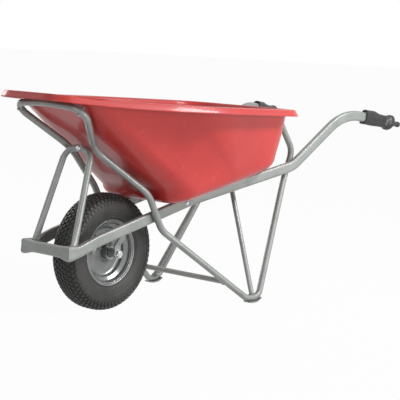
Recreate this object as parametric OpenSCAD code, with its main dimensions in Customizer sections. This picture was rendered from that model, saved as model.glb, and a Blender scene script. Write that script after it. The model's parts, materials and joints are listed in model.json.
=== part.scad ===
// Single-wheel barrow: bent-tube frame, moulded tray and a pneumatic wheel on ball bearings.
// Sizes are written from the wheel axle: +X forward, +Y to the left hand, +Z up from the ground.

/* [Tyre and rim] */
// Diameter over the tyre tread
tyre_d = 400; // [380:1:410]
// Width across the tyre
tyre_w = 100; // [92:1:108]
// Thickness of the tyre under the tread
tread_t = 13; // [9:0.5:18]
// Thickness of the tyre's side wall
sidewall_t = 6; // [4:0.5:9]
// Diameter over the rim flanges
rim_d = 228; // [222:1:236]
// Width over the rim flanges
rim_w = 84; // [78:1:88]
// Diameter of the seat that the tyre bead grips
bead_d = 203; // [198:1:206]
// Diameter over the rim's centre well
well_d = 172; // [160:1:180]
// Width of the bead seats' slope to the centre well
well_w = 30; // [24:1:38]
// Thickness of the rim pressing
rim_t = 2; // [1.5:0.1:2.5]
// Thickness of the inner tube's rubber
tube_t = 1.6; // [1.2:0.1:2.5]

/* [Hub and axle] */
// Outside diameter of the hub tube
hub_d = 50; // [48:0.5:56]
// Length of the hub tube
hub_l = 80; // [66:1:90]
// Outside diameter of each ball bearing
bearing_d = 42; // [40:0.5:44]
// Width of each ball bearing
bearing_w = 12; // [10:0.5:14]
// Diameter of each bearing ball
ball_d = 6.4; // [5:0.1:6.8]
// Number of balls in each bearing
ball_n = 9; // [7:1:10]
// Diameter of the axle in the bearings
axle_d = 20; // [18:0.5:22]
// Diameter of the axle's threaded ends
thread_d = 16; // [12:1:16]
// Outside diameter of the spacer sleeves
sleeve_d = 26; // [24:0.5:27]
// Distance between the inner faces of the two axle brackets
fork_w = 132; // [126:1:140]
// Size of the axle nuts across their flats
axle_nut_af = 24; // [22:1:27]
// Height of the axle nuts
axle_nut_h = 10; // [8:0.5:14]
// Running clearance of the balls in their races
ball_gap = 0.05; // [0.02:0.01:0.08]

/* [Main tube] */
// Height of the main tube's section
rail_h = 38; // [34:1:42]
// Width of the main tube's section
rail_w = 22; // [20:1:26]
// Corner radius of the main tube's section
rail_r = 8; // [5:0.5:9]
// Wall thickness of the main tube
rail_t = 1.8; // [1.5:0.1:3]
// Slope of the rails in degrees
rail_tilt = 13.2; // [10:0.1:15]
// Height of the rail centre lines above the axle
rail_rise = 89.75; // [84:0.25:100]
// Distance between the rail centre lines over the wheel
rail_gap = 211.2; // [206:0.2:220]
// Distance from the axle forward to the front bar's centre line
front_x = 255.5; // [250:0.5:275]
// Distance from the axle forward to where the rails' level fronts start
level_x = 217; // [205:1:225]
// Distance from the axle forward to where the rails start to dip
dip_x = 130; // [110:1:150]
// Height of the front bar's centre line over the axle
front_rise = 31; // [26:0.5:40]
// Distance behind the axle where the rails splay outwards
splay_x = 320; // [290:1:350]
// Splay of the handles in degrees
splay = 10.6; // [8:0.1:12]
// Distance behind the axle where the handles turn upwards
lift_x = 785.7; // [770:1:800]
// Upward turn of the handles in degrees
lift = 25.8; // [20:0.1:30]
// Length of the rising stretch between the bend points
lift_l = 313; // [290:1:330]
// Downward turn of the handles to the grips in degrees
drop = 47.6; // [42:0.1:50]
// Length from the upper bend point to the tube's end
handle_l = 245; // [225:1:260]

/* [Grips] */
// Length from the upper bend point to the grip's end
grip_end = 310; // [300:1:320]
// Length from the upper bend point to the grip's mouth
grip_start = 110; // [102:1:118]
// Thickness of the grip around the tube
grip_t = 6.5; // [5:0.5:8]
// Diameter of the grip's end bulge
grip_bulge_d = 61; // [56:1:66]
// Diameter of the grip's end knob
grip_knob_d = 22; // [18:1:26]

/* [Round tubes] */
// Diameter of the tray hoop and leg tubes
hoop_d = 23; // [21:0.5:25]
// Wall thickness of the round tubes
hoop_t = 1.6; // [1.4:0.1:2.5]
// Diameter of the front brace tube
brace_d = 22; // [19:0.5:23]
// Diameter of the leg stay tube
stay_d = 18; // [16:0.5:20]
// Diameter of the tie bar between the legs
tie_d = 19; // [16:0.5:21]

/* [Front hoop and brace] */
// Distance from the tray's front edge back to the hoop's top corners
hoop_back = 97; // [92:1:104]
// Height of the hoop's top corners over the axle
hoop_rise = 496.5; // [490:0.5:500]
// Half width of the hoop at its top corners
hoop_half_w = 172.8; // [165:0.5:176]
// Distance that the hoop's top bar bows forwards
hoop_bow = 12; // [4:1:16]
// Distance from the axle forward to the hoop's waist
waist_x = 109; // [100:1:116]
// Height of the hoop's waist over the axle
waist_rise = 353.5; // [345:0.5:360]
// Half width of the hoop's waist
waist_half_w = 56; // [50:1:62]
// Distance behind the axle where the hoop meets the rails
cross_x = 81; // [76:1:86]
// Height over the axle where the hoop turns down beside the rails
cross_rise = 204; // [198:1:212]
// Distance from the axle forward to the brace's feet
brace_x = 221; // [214:1:224]
// Half width of the brace at its feet
brace_half_w = 92; // [88:1:95]
// Height of the brace's crown over the axle
brace_rise = 354; // [340:1:360]
// Backward lean of the brace in degrees
brace_lean = 17.8; // [15:0.1:19]
// Inward lean of the brace's sides in degrees
brace_taper = 5.8; // [4:0.1:7]

/* [Legs] */
// Distance behind the axle where the legs turn down below the rails
leg_front_x = 153; // [145:1:160]
// Height over the axle where the legs turn down below the rails
leg_front_rise = 74.5; // [68:0.5:80]
// Distance behind the axle to the front of the feet
foot_front_x = 494; // [484:1:502]
// Distance behind the axle to the back of the feet
foot_rear_x = 552; // [546:1:562]
// Half width over the fronts of the feet's tube centres
foot_half_w = 238.5; // [228:0.5:248]
// Distance that each foot's tube runs outwards to its back
foot_splay = 8; // [0:1:12]
// Height over the axle where the rear legs meet the rails
leg_top_rise = 228; // [220:1:234]
// Distance behind the axle where the rear legs meet the rails
leg_top_x = 772; // [766:1:778]
// Thickness of the wear plates under the feet
foot_t = 5; // [4:0.5:8]
// Width of the wear plates
foot_w = 30; // [24:1:36]
// Distance behind the axle to the tie bar
tie_x = 410; // [380:1:435]

/* [Rear hoop] */
// Distance behind the axle to the rear hoop's bend
rear_bend_x = 801; // [796:1:808]
// Height of the rear hoop's bend over the axle
rear_bend_rise = 330; // [320:1:338]
// Half width of the rear hoop at its top corners
rear_half_w = 174; // [165:1:190]
// Distance from the tray's rear edge forward to the rear hoop's top
rear_in = 17; // [16.5:0.5:17.5]
// Straight drop of the rear hoop's corners below its crossbar
rear_drop = 40; // [38.5:0.5:46]

/* [Tray] */
// Distance from the axle forward to the tray's front edge
tray_front = 369; // [362:1:376]
// Distance from the axle back to the tray's rear edge
tray_rear = 747; // [742:1:756]
// Width between the rim's widest points before rounding
tray_w = 721; // [704:1:730]
// Width between the rim's front corner points before rounding
tray_front_w = 278; // [262:1:300]
// Width between the rim's rear corner points before rounding
tray_rear_w = 592; // [570:1:604]
// Height of the tray's lip edge above the axle
lip_rise = 492; // [488:1:500]
// Height of the tray's turned-down lip
lip_h = 23; // [18:1:28]
// Overhang of the rim past the front wall
over_front = 74; // [73:0.5:78]
// Overhang of the rim past the side walls
over_side = 52.5; // [48:0.5:56]
// Overhang of the rim past the rear wall
over_rear = 30; // [29.5:0.5:30.5]
// Width between the front wall's corner points before rounding
wall_front_w = 330; // [316:1:344]
// Width between the rear wall's corner points before rounding
wall_rear_w = 499; // [484:1:510]
// Thickness of the tray
tray_t = 4.5; // [4:0.5:6]
// Distance behind the axle to the front of the tray's floor
floor_front = 145; // [135:1:155]
// Distance behind the axle to the rear of the tray's floor
floor_rear = 692; // [684:1:698]
// Width between the floor's front corner points
floor_front_w = 410; // [380:1:430]
// Width between the floor's rear corner points
floor_rear_w = 490; // [460:1:510]
// Radius between the tray's floor and walls
floor_fillet = 58; // [45:1:64]

/* [Cross straps and fasteners] */
// Height of the cross straps on the rails
strap_h = 10; // [8:0.5:14]
// Width of the cross straps
strap_w = 50; // [40:1:60]
// Thickness of the cross straps and axle brackets' sheet
strap_t = 3; // [2.5:0.5:4]
// Distance behind the axle to the front strap, along the rails
strap_1 = 298; // [285:1:305]
// Distance behind the axle to the middle strap, along the rails
strap_2 = 465; // [440:1:490]
// Distance behind the axle to the rear strap, along the rails
strap_3 = 626; // [612:1:632]
// Distance between the tray bolts across the tray
bolt_gap = 140; // [110:2:160]
// Diameter of the tray and strap bolts
bolt_d = 8; // [6:1:8]
// Clearance of bolts in their holes
bolt_gap_d = 1; // [0.4:0.1:1.5]
// Thickness of the axle bracket bars
bracket_t = 6; // [5:0.5:7]
// Width of the axle bracket bars
bracket_w = 28; // [26:1:34]

/* [Hidden] */
$fn = 64;

weld_gap = 0.15;
bend_swell = 0.1;
bend_lap = 1.5;
$swell = 0;
axle_fit = 0.02;
bore_fit = 0.2;
grip_fit = 0.15;

// Heights that follow from the wheel's radius
axle_z = tyre_d / 2;
rail_z0 = axle_z + rail_rise;
front_z = axle_z + front_rise;
foot_z = foot_t + hoop_d / 2;

// Directions of the main tube: along the rails, their upright, and the splayed and lifted handles
rail_up = [sin(rail_tilt), 0, cos(rail_tilt)];
rail_back = [-cos(rail_tilt), 0, sin(rail_tilt)];
splay_dir = rail_back * cos(splay) + [0, 1, 0] * sin(splay);
splay_side = cross(splay_dir, rail_up);
lift_dir = splay_dir * cos(lift) + rail_up * sin(lift);
grip_dir = splay_dir * cos(lift - drop) + rail_up * sin(lift - drop);
grip_up = rail_up * cos(lift - drop) - splay_dir * sin(lift - drop);

function rail_point(s, y, n) = [0, y, rail_z0] - rail_back * s + rail_up * n;
function rail_z(x) = rail_z0 - x * tan(rail_tilt);

rail_y = rail_gap / 2;
rail_out = rail_y + rail_w / 2;
rail_in = rail_y - rail_w / 2;
splay_point = rail_point(-splay_x / cos(rail_tilt), rail_y, 0);
lift_point = splay_point + splay_dir * (lift_x - splay_x) / -splay_dir.x;
drop_point = lift_point + lift_dir * lift_l;
rail_path = [
    [front_x, rail_y, front_z],
    [level_x, rail_y, front_z],
    [dip_x, rail_y, rail_z(dip_x)],
    splay_point,
    lift_point,
    drop_point,
    drop_point + grip_dir * handle_l
];
rail_bends = [0, 90, 150, 150, 110, 195, 0];

// Where a point at x and z lies when it stands a gap inside the splayed rail's inner face
function inside_rail(x, z, gap) =
    splay_point.y - (rail_w / 2 + gap + splay_side.x * (x - splay_point.x)
    + splay_side.z * (z - splay_point.z)) / splay_side.y;
// The rail's centre line seen from above
function rail_y_at(x) =
    rail_y + max(0, -x - splay_x) * splay_dir.y / -splay_dir.x;

// The tray's rim: its lip edge rises gently to the front
rim_slope = 0.04;
rim_sweep = 1.0e-4;
function lip_z(x) = axle_z + lip_rise + rim_slope * x + rim_sweep * pow(max(0, x), 2);
floor_n = rail_h / 2 + strap_h;
function floor_z(x) = rail_z(x) + floor_n / cos(rail_tilt);

// The legs and hoops, given for the left side
hoop_r = hoop_d / 2;
hoop_y = rail_out + hoop_r + weld_gap;
hoop_top = [tray_front - hoop_back, hoop_half_w, axle_z + hoop_rise];
hoop_mid = hoop_top + [hoop_bow, -hoop_half_w, hoop_bow * (hoop_rise - waist_rise)
    / (hoop_top.x - waist_x)];
waist = [waist_x, waist_half_w, axle_z + waist_rise];
cross_top = [-cross_x, hoop_y, axle_z + cross_rise];
leg_front = [-leg_front_x, hoop_y, axle_z + leg_front_rise];
cross_share = (cross_top.z - rail_z(cross_top.x))
    / (cross_top.z - leg_front.z - rail_z(cross_top.x) + rail_z(leg_front.x));
cross_joint = cross_top + (leg_front - cross_top) * cross_share;
foot_front = [-foot_front_x, foot_half_w, foot_z];
foot_rear = [-foot_rear_x, foot_half_w + foot_splay, foot_z];
leg_top_z = axle_z + leg_top_rise;
leg_top = [-leg_top_x, inside_rail(-leg_top_x, leg_top_z, hoop_r + weld_gap), leg_top_z];
rear_bend_z = axle_z + rear_bend_rise;
rear_bend = [-rear_bend_x, inside_rail(-rear_bend_x, rear_bend_z, hoop_r + weld_gap), rear_bend_z];
rear_joint = (leg_top + rear_bend) / 2;
rear_top_x = rear_in - tray_rear;
rear_top = [rear_top_x, rear_half_w, lip_z(rear_top_x) + lip_h - tray_t - hoop_r - weld_gap];
front_bend_r = 40;
rear_bend_r = 45;
leg_path = [cross_joint, leg_front, foot_front, foot_rear, leg_top, rear_joint];
leg_bends = [0, 100, front_bend_r, rear_bend_r, 120, 0];

// The leg stay stands on both feet and meets the rear strap
stay_crown = rail_point(-strap_3, 36, rail_h / 2 - stay_d / 2);
stay_foot = (foot_front + foot_rear) / 2;
tie_share = (tie_x - leg_front_x) / (foot_front_x - leg_front_x);
tie_end = leg_front + (foot_front - leg_front) * tie_share;

// The brace: two sides that lean back and in from the front bar to a round crown
brace_foot = [brace_x, brace_half_w, front_z + rail_h / 2];
brace_side = (axle_z + brace_rise - brace_foot.z) / cos(brace_lean);
brace_crown = brace_foot + [-brace_side * sin(brace_lean), -brace_side * tan(brace_taper),
    brace_side * cos(brace_lean)];
brace_root = brace_foot + (brace_foot - brace_crown) * 16 / brace_side;
brace_normal = [cos(brace_lean), 0, sin(brace_lean)];

// The whole part is moved so that its origin is under the middle of its length
knob_r = grip_knob_d / 2;
rear_end = drop_point + grip_dir * grip_end - [knob_r * sqrt(1 - pow(grip_dir.x, 2)), 0, 0];
middle_x = (tray_front + rear_end.x) / 2;

function unit(v) = v / norm(v);
function flip(p) = [p.x, -p.y, p.z];
function turned(v, k, a) = v * cos(a) + cross(k, v) * sin(a) + k * (k * v) * (1 - cos(a));
function tube_up(i, d, up) =
    i == 0 ? unit(up - d[0] * (up * d[0])) :
    let (u = tube_up(i - 1, d, up), k = cross(d[i - 1], d[i]))
    norm(k) < 1e-6 ? u : turned(u, unit(k), acos(min(1, d[i - 1] * d[i])));

// Puts its children with their x, y and z axes along three directions, at a point
module placed(x, y, z, at) {
    multmatrix([
        [x.x, y.x, z.x, at.x],
        [x.y, y.y, z.y, at.y],
        [x.z, y.z, z.z, at.z]
    ]) children();
}

// Puts its children with z along a direction and y towards an upright
module along(at, z, up) {
    y = unit(up - z * (up * z));
    placed(cross(y, z), y, z, at) children();
}

// Sweeps a flat section along straight runs joined by round bends. A bend swells its section a
// little, and takes in the ends of its runs, so that they join over a length
module bent_tube(path, bends, up) {
    last = len(path) - 1;
    d = [for (i = [0:last - 1]) unit(path[i + 1] - path[i])];
    turn = [for (i = [0:last]) i == 0 || i == last ? 0 : acos(min(1, d[i - 1] * d[i]))];
    cut = [for (i = [0:last]) bends[i] * tan(turn[i] / 2)];
    for (i = [0:last - 1]) {
        u = tube_up(i, d, up);
        from = cut[i] - (i > 0 ? bend_lap : 0);
        to = norm(path[i + 1] - path[i]) - cut[i + 1] + (i < last - 1 ? bend_lap : 0);
        placed(cross(u, d[i]), u, d[i], path[i] + d[i] * from)
            linear_extrude(to - from) children();
    }
    for (i = [1:last - 1]) {
        k = unit(cross(d[i - 1], d[i]));
        out = -cross(k, d[i - 1]);
        u = tube_up(i - 1, d, up);
        placed(out, d[i - 1], k, path[i] - d[i - 1] * cut[i] - out * bends[i])
            rotate_extrude(angle = turn[i], $fn = 96)
                translate([bends[i], 0])
                    rotate(atan2(-(u * out), u * k)) let ($swell = bend_swell) children();
    }
}

module oval(w, h, r) {
    square([w - 2 * r, h], center = true);
    square([w, h - 2 * r], center = true);
    for (x = [-1, 1])
        for (y = [-1, 1])
            translate([x * (w / 2 - r), y * (h / 2 - r)]) circle(r);
}

module rail_section(hollow = true) {
    difference() {
        rail_outline($swell);
        if (hollow) rail_outline(-rail_t - $swell);
    }
}

module rail_outline(grow) {
    oval(rail_w + 2 * grow, rail_h + 2 * grow, rail_r + grow);
}

module pipe_section(d, t) {
    difference() {
        bar_section(d);
        circle(d = d - 2 * t - 2 * $swell);
    }
}

module bar_section(d) {
    circle(d = d + 2 * $swell);
}

// The half space on one side of the left front corner's mitre: -1 the bar's side, 1 the rail's
module mitre_block(side) {
    translate([front_x, rail_y, front_z])
        rotate([0, 0, 45])
            translate([-3 * rail_h, side > 0 ? 0 : -6 * rail_h, -3 * rail_h])
                cube(6 * rail_h);
}

// Main tube
module rail_tube(hollow = true) {
    nose = [[front_x + rail_w, rail_y, front_z]];
    path = [for (i = [0:len(rail_path) - 1]) i == 0 ? nose[0] : rail_path[i]];
    bent_tube(path, rail_bends, [0, 0, 1]) rail_section(hollow);
}

module rail_front() {
    path = [[front_x + rail_w, rail_y, front_z], rail_path[1], rail_path[2], splay_point];
    bent_tube(path, [0, rail_bends[1], rail_bends[2], 0], [0, 0, 1]) rail_section(false);
}

module rail() {
    color("silver") difference() {
        rail_tube();
        mitre_block(-1);
        strap_bolt_hole();
    }
}

module left_rail() { rail(); }
module right_rail() { mirror([0, 1, 0]) rail(); }

module front_bar(hollow = true) {
    color("gray") difference() {
        translate([front_x, 0, front_z])
            rotate([90, 0, 0])
                translate([0, 0, -rail_y - rail_w])
                    linear_extrude(2 * (rail_y + rail_w)) rail_section(hollow);
        mitre_block(1);
        mirror([0, 1, 0]) mitre_block(1);
    }
}

// Tray hoops and legs
module front_hoop() {
    half = [hoop_mid, hoop_top, waist, cross_top, cross_joint];
    path = concat([for (i = [4:-1:1]) half[i]], [hoop_mid], [for (i = [1:4]) flip(half[i])]);
    color("gray") difference() {
        bent_tube(path, [0, 110, 110, corner_r, 400, corner_r, 110, 110, 0], [0, 1, 0])
            pipe_section(hoop_d, hoop_t);
        for (p = [0, 1]) mirror([0, p, 0]) hoop_screw_hole();
        brace_tube(false);
    }
}

module rear_hoop() {
    side = [rear_joint, rear_bend, rear_top - [0, 0, rear_drop], rear_top];
    path = concat(side, [for (i = [3:-1:0]) flip(side[i])]);
    color("silver") bent_tube(path, [0, 60, 36, 26, 26, 36, 60, 0], [0, 1, 0])
        pipe_section(hoop_d, hoop_t);
}

module leg_tube(hollow = true) {
    bent_tube(leg_path, leg_bends, [0, 1, 0])
        if (hollow) pipe_section(hoop_d, hoop_t);
        else bar_section(hoop_d);
}

module left_leg() { color("silver") leg_tube(); }
module right_leg() { mirror([0, 1, 0]) left_leg(); }

module foot_run() {
    bent_tube([leg_front, foot_front, foot_rear, leg_top], [0, front_bend_r, rear_bend_r, 0],
        [0, 1, 0]) bar_section(hoop_d);
}

module leg_stay() {
    path = [stay_foot, stay_crown, flip(stay_crown), flip(stay_foot)];
    color("silver") difference() {
        bent_tube(path, [0, 40, 40, 0], [1, 0, 0]) pipe_section(stay_d, hoop_t);
        for (p = [0, 1]) mirror([0, p, 0]) foot_run();
    }
}

module tie_bar() {
    color("gray") difference() {
        bent_tube([tie_end, flip(tie_end)], [0, 0], [0, 0, 1]) pipe_section(tie_d, hoop_t);
        for (p = [0, 1]) mirror([0, p, 0]) foot_run();
    }
}

module brace_tube(hollow = true) {
    path = [brace_root, brace_crown, flip(brace_crown), flip(brace_root)];
    bent_tube(path, [0, 46, 46, 0], [1, 0, 0])
        if (hollow) pipe_section(brace_d, hoop_t);
        else bar_section(brace_d);
}

module front_brace() {
    color("gray") difference() {
        brace_tube();
        for (p = [0, 1]) mirror([0, p, 0]) rail_front();
        front_bar(false);
        along(bolt_seat, brace_normal, [0, 1, 0])
            translate([0, 0, -brace_d]) cylinder(d = bolt_d + bolt_gap_d, h = 2 * brace_d);
    }
}

// Wear plates under the feet, rolled to follow the bends of the legs
module foot_plate() {
    rise = atan2(leg_front.z - foot_front.z, foot_front_x - leg_front_x);
    fall = atan2(leg_top.z - foot_rear.z, leg_top_x - foot_rear_x);
    run_front = -foot_front_x - (front_bend_r + 6) * tan(rise / 2);
    run_rear = -foot_rear_x + (rear_bend_r + 6) * tan(fall / 2);
    color("dimgray") difference() {
        translate([0, foot_half_w + (foot_splay + foot_w) / 2, 0]) rotate([90, 0, 0])
            linear_extrude(foot_w) {
                translate([run_rear, 0]) square([run_front - run_rear, foot_t]);
                rolled_end(run_front, front_bend_r + hoop_r, 18);
                rolled_end(run_rear, rear_bend_r + hoop_r, -38);
            }
        foot_run();
    }
}

// A sheet's end rolled up round a centre above a point, through a signed angle
module rolled_end(x, r, a) {
    intersection() {
        translate([x, r + foot_t]) difference() {
            circle(r + foot_t, $fn = 96);
            circle(r, $fn = 96);
        }
        translate([x, r + foot_t])
            polygon([[0, 0], [0, -3 * r], [3 * r * tan(a), -3 * r]]);
    }
}

module left_foot_plate() { foot_plate(); }
module right_foot_plate() { mirror([0, 1, 0]) foot_plate(); }

// Brackets that hang the axle under the rails: a flat bar set out to the rail's inner face
module axle_bracket() {
    low = fork_w / 2;
    color("silver") difference() {
        union() {
            translate([bracket_w / 2, 0, 0]) rotate([90, 0, -90]) linear_extrude(bracket_w)
                polygon([
                    [-low, axle_z], [-low, axle_z + 30],
                    [-rail_in + bracket_t, axle_z + rail_rise - 30],
                    [-rail_in + bracket_t, axle_z + rail_rise + 9],
                    [-rail_in, axle_z + rail_rise + 9], [-rail_in, axle_z + rail_rise - 32],
                    [-low - bracket_t, axle_z + 28], [-low - bracket_t, axle_z]
                ]);
            translate([0, low + bracket_t, axle_z]) rotate([90, 0, 0])
                cylinder(d = bracket_w, h = bracket_t);
        }
        translate([0, low + 2 * bracket_t, axle_z]) rotate([90, 0, 0])
            cylinder(d = thread_d + 2 * bore_fit, h = 3 * bracket_t);
    }
}

module left_axle_bracket() { axle_bracket(); }
module right_axle_bracket() { mirror([0, 1, 0]) axle_bracket(); }

// Straps across the rails: channels with their open side down
module on_rails(s, y, n) {
    placed(-rail_back, [0, 1, 0], rail_up, rail_point(s, y, n)) children();
}

module strap(s) {
    half = rail_y_at(-s * cos(rail_tilt)) + rail_w / 2 - 3;
    on_rails(-s, 0, rail_h / 2 + bend_swell) difference() {
        translate([-strap_w / 2, -half, 0]) cube([strap_w, 2 * half, strap_h - bend_swell]);
        translate([-strap_w / 2 + strap_t, -half - 1, -1])
            cube([strap_w - 2 * strap_t, 2 * half + 2, strap_h - bend_swell - strap_t + 1]);
    }
}

module front_strap() {
    tab_w = strap_w - 20;
    color("dimgray") difference() {
        union() {
            strap(strap_1);
            for (p = [0, 1]) mirror([0, p, 0])
                on_rails(-strap_1, rail_in - strap_t - bend_swell, -14)
                    translate([-tab_w / 2, 0, 0])
                        cube([tab_w, strap_t, rail_h / 2 + 14 + strap_h - strap_t / 2]);
        }
        for (p = [0, 1]) mirror([0, p, 0]) strap_bolt_hole();
        tray_bolt_holes(strap_1);
    }
}

module middle_strap() {
    color("dimgray") strap(strap_2);
}

module rear_strap() {
    color("dimgray") difference() {
        strap(strap_3);
        tray_bolt_holes(strap_3);
    }
}

// Bolts, washers and nuts
module strap_bolt_hole() {
    placed([0, 0, 1], [1, 0, 0], [0, 1, 0], rail_point(-strap_1, rail_in - 2 * rail_w, 0))
        cylinder(d = bolt_d + bolt_gap_d, h = 4 * rail_w);
}

module strap_bolts() {
    head_h = 0.65 * bolt_d;
    color("lightgray") for (p = [0, 1]) mirror([0, p, 0])
        placed([0, 0, 1], [1, 0, 0], [0, 1, 0], rail_point(-strap_1, rail_in - strap_t - 10, 0)) {
            cylinder(d = bolt_d, h = rail_w + strap_t + 10);
            translate([0, 0, rail_w + strap_t + 10])
                cylinder(d = 1.85 * bolt_d, h = head_h, $fn = 6);
        }
}

module strap_nuts() {
    color("lightgray") for (p = [0, 1]) mirror([0, p, 0])
        placed([0, 0, 1], [1, 0, 0], [0, 1, 0], rail_point(-strap_1, rail_in - strap_t - bend_swell, 0))
            translate([0, 0, -0.8 * bolt_d]) nut(bolt_d, 0.8 * bolt_d);
}

module nut(d, h, af = 0) {
    difference() {
        cylinder(d = (af > 0 ? af : 1.6 * d) / cos(30), h = h, $fn = 6);
        translate([0, 0, -1]) cylinder(d = d + 2 * weld_gap, h = h + 2);
    }
}

module tray_bolt_holes(s) {
    for (y = [-1, 1])
        on_rails(-s, y * bolt_gap / 2, 0) cylinder(d = bolt_d + bolt_gap_d, h = 2 * rail_h);
}

module at_tray_bolts() {
    for (s = [strap_1, strap_3])
        for (y = [-1, 1]) on_rails(-s, y * bolt_gap / 2, floor_n) children();
}

washer_t = 1.6;
module tray_bolts() {
    top = tray_t + washer_t;
    color("lightgray") at_tray_bolts() {
        translate([0, 0, -strap_t - 0.75 * bolt_d]) cylinder(d = bolt_d, h = strap_t + 0.75 * bolt_d + top);
        translate([0, 0, top]) rotate_extrude()
            intersection() {
                translate([0, -bolt_d]) circle(1.4 * bolt_d);
                square([2 * bolt_d, bolt_d]);
            }
    }
}

module tray_washers() {
    color("lightgray") at_tray_bolts() translate([0, 0, tray_t]) difference() {
        cylinder(d = 3.4 * bolt_d, h = washer_t);
        translate([0, 0, -1]) cylinder(d = bolt_d + bolt_gap_d, h = washer_t + 2);
    }
}

module tray_nuts() {
    color("lightgray") at_tray_bolts()
        translate([0, 0, -strap_t - 0.7 * bolt_d]) nut(bolt_d, 0.7 * bolt_d);
}

bolt_seat = [brace_crown.x, 0, brace_crown.z];
module brace_bolt() {
    color("lightgray") along(bolt_seat, brace_normal, [0, 1, 0]) {
        translate([0, 0, -brace_d / 2 - bolt_d]) cylinder(d = bolt_d, h = brace_d + bolt_d);
        translate([0, 0, brace_d / 2]) cylinder(d = 1.85 * bolt_d, h = 0.65 * bolt_d, $fn = 6);
    }
}

module brace_bolt_nut() {
    color("lightgray") along(bolt_seat, brace_normal, [0, 1, 0])
        translate([0, 0, -brace_d / 2 - 0.8 * bolt_d]) nut(bolt_d, 0.8 * bolt_d);
}

// Screws through the hoop's top corners into the tray's wall
hoop_normal = unit(cross(hoop_top - waist, hoop_mid - hoop_top));
corner_r = 44;
corner_half = acos(unit(waist - hoop_top) * unit(hoop_mid - hoop_top)) / 2;
hoop_corner = hoop_top + unit(unit(waist - hoop_top) + unit(hoop_mid - hoop_top))
    * corner_r * (1 / sin(corner_half) - 1);
screw_d = 6;
module at_hoop_screw() {
    out = hoop_normal.z > 0 ? -hoop_normal : hoop_normal;
    along(hoop_corner, out, [0, 1, 0]) children();
}

module hoop_screw_hole() {
    at_hoop_screw() translate([0, 0, -2 * hoop_d]) cylinder(d = screw_d + 0.5, h = 4 * hoop_d);
}

module hoop_screws() {
    color("lightgray") for (p = [0, 1]) mirror([0, p, 0]) at_hoop_screw() {
        translate([0, 0, -hoop_d]) cylinder(d = screw_d, h = 1.5 * hoop_d);
        translate([0, 0, hoop_r + bend_swell]) cylinder(d = 1.9 * screw_d, h = 0.6 * screw_d, $fn = 6);
    }
}

// Tray: rings of points joined into one closed shell
function filleted(v, r, n) = [
    for (i = [0:len(v) - 1])
        let (
            a = unit(v[(i + len(v) - 1) % len(v)] - v[i]),
            b = unit(v[(i + 1) % len(v)] - v[i]),
            half = acos(a * b) / 2,
            c = v[i] + unit(a + b) * r[i] / sin(half),
            s = v[i] + a * r[i] / tan(half) - c,
            start = atan2(s.y, s.x),
            sweep = 180 - 2 * half
        )
        for (k = [0:n[i]]) c + r[i] * [cos(start + sweep * k / n[i]), sin(start + sweep * k / n[i])]
];
function inset(v, d) = [
    for (i = [0:len(v) - 1])
        let (
            a = unit(v[(i + len(v) - 1) % len(v)] - v[i]),
            b = unit(v[(i + 1) % len(v)] - v[i])
        )
        v[i] + unit(a + b) * d / sin(acos(a * b) / 2)
];
tray_arc = [10, 10, 4, 10, 10, 4];
widest_x = -150;
function six(xf, yf, xm, ym, xr, yr) =
    [[xf, -yf], [xf, yf], [xm, ym], [xr, yr], [xr, -yr], [xm, -ym]];
rim_corners = six(tray_front, tray_front_w / 2, widest_x, tray_w / 2, -tray_rear, tray_rear_w / 2);
rim_radii = [91, 91, 600, 145, 145, 600];
wall_corners = six(
    tray_front - over_front, wall_front_w / 2, widest_x - 50, tray_w / 2 - over_side,
    over_rear - tray_rear, wall_rear_w / 2
);
wall_radii = [113, 113, 600, 119, 119, 600];
floor_mid_w = floor_front_w + (floor_rear_w - floor_front_w) * 0.5;
floor_mid_x = -(floor_front + floor_rear) / 2;
floor_corners = six(
    -floor_front, floor_front_w / 2, floor_mid_x, floor_mid_w / 2 + 6, -floor_rear, floor_rear_w / 2
);
floor_radii = [100, 100, 600, 100, 100, 600];

function grown(r, d) = [for (x = r) x - d];
function outline(v, r, d) = filleted(inset(v, d), grown(r, d), tray_arc);
function rim_ring(d, up) = [
    for (p = outline(rim_corners, rim_radii, d)) [p.x, p.y, lip_z(p.x) + up]
];
function wall_ring(d, up) = [
    for (p = outline(wall_corners, wall_radii, d)) [p.x, p.y, lip_z(p.x) + up]
];
function floor_ring(d, up) = [
    for (p = outline(floor_corners, floor_radii, d)) [p.x, p.y, floor_z(p.x) + up]
];
function between(a, b, t) = [for (i = [0:len(a) - 1]) a[i] * (1 - t) + b[i] * t];

floor_t = tray_t / cos(rail_tilt);
wall_low = floor_ring(0, 0.8 * floor_fillet);
wall_high = wall_ring(0, lip_h - tray_t);
wall_low_in = floor_ring(tray_t, 0.8 * floor_fillet + 0.4 * tray_t);
wall_high_in = wall_ring(1.15 * tray_t, lip_h - tray_t);
tray_rings = concat(
    [for (a = [0:22.5:67.5]) floor_ring(floor_fillet * (1 - sin(a)), 0.8 * floor_fillet * (1 - cos(a)))],
    [for (t = [0:0.25:1]) between(wall_low, wall_high, t)],
    [rim_ring(tray_t, lip_h - tray_t), rim_ring(tray_t, 0), rim_ring(0, 0)],
    [for (a = [0:30:90]) rim_ring(8 * (1 - cos(a)), lip_h - 8 * (1 - sin(a)))],
    [wall_ring(-2, lip_h), wall_ring(0.8 * tray_t, lip_h - 0.5 * tray_t)],
    [for (t = [1:-0.25:0]) between(wall_low_in, wall_high_in, t)],
    [for (a = [67.5:-22.5:0])
        floor_ring(tray_t + floor_fillet * (1 - sin(a)), floor_t + 0.8 * floor_fillet * (1 - cos(a)))]
);

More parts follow.
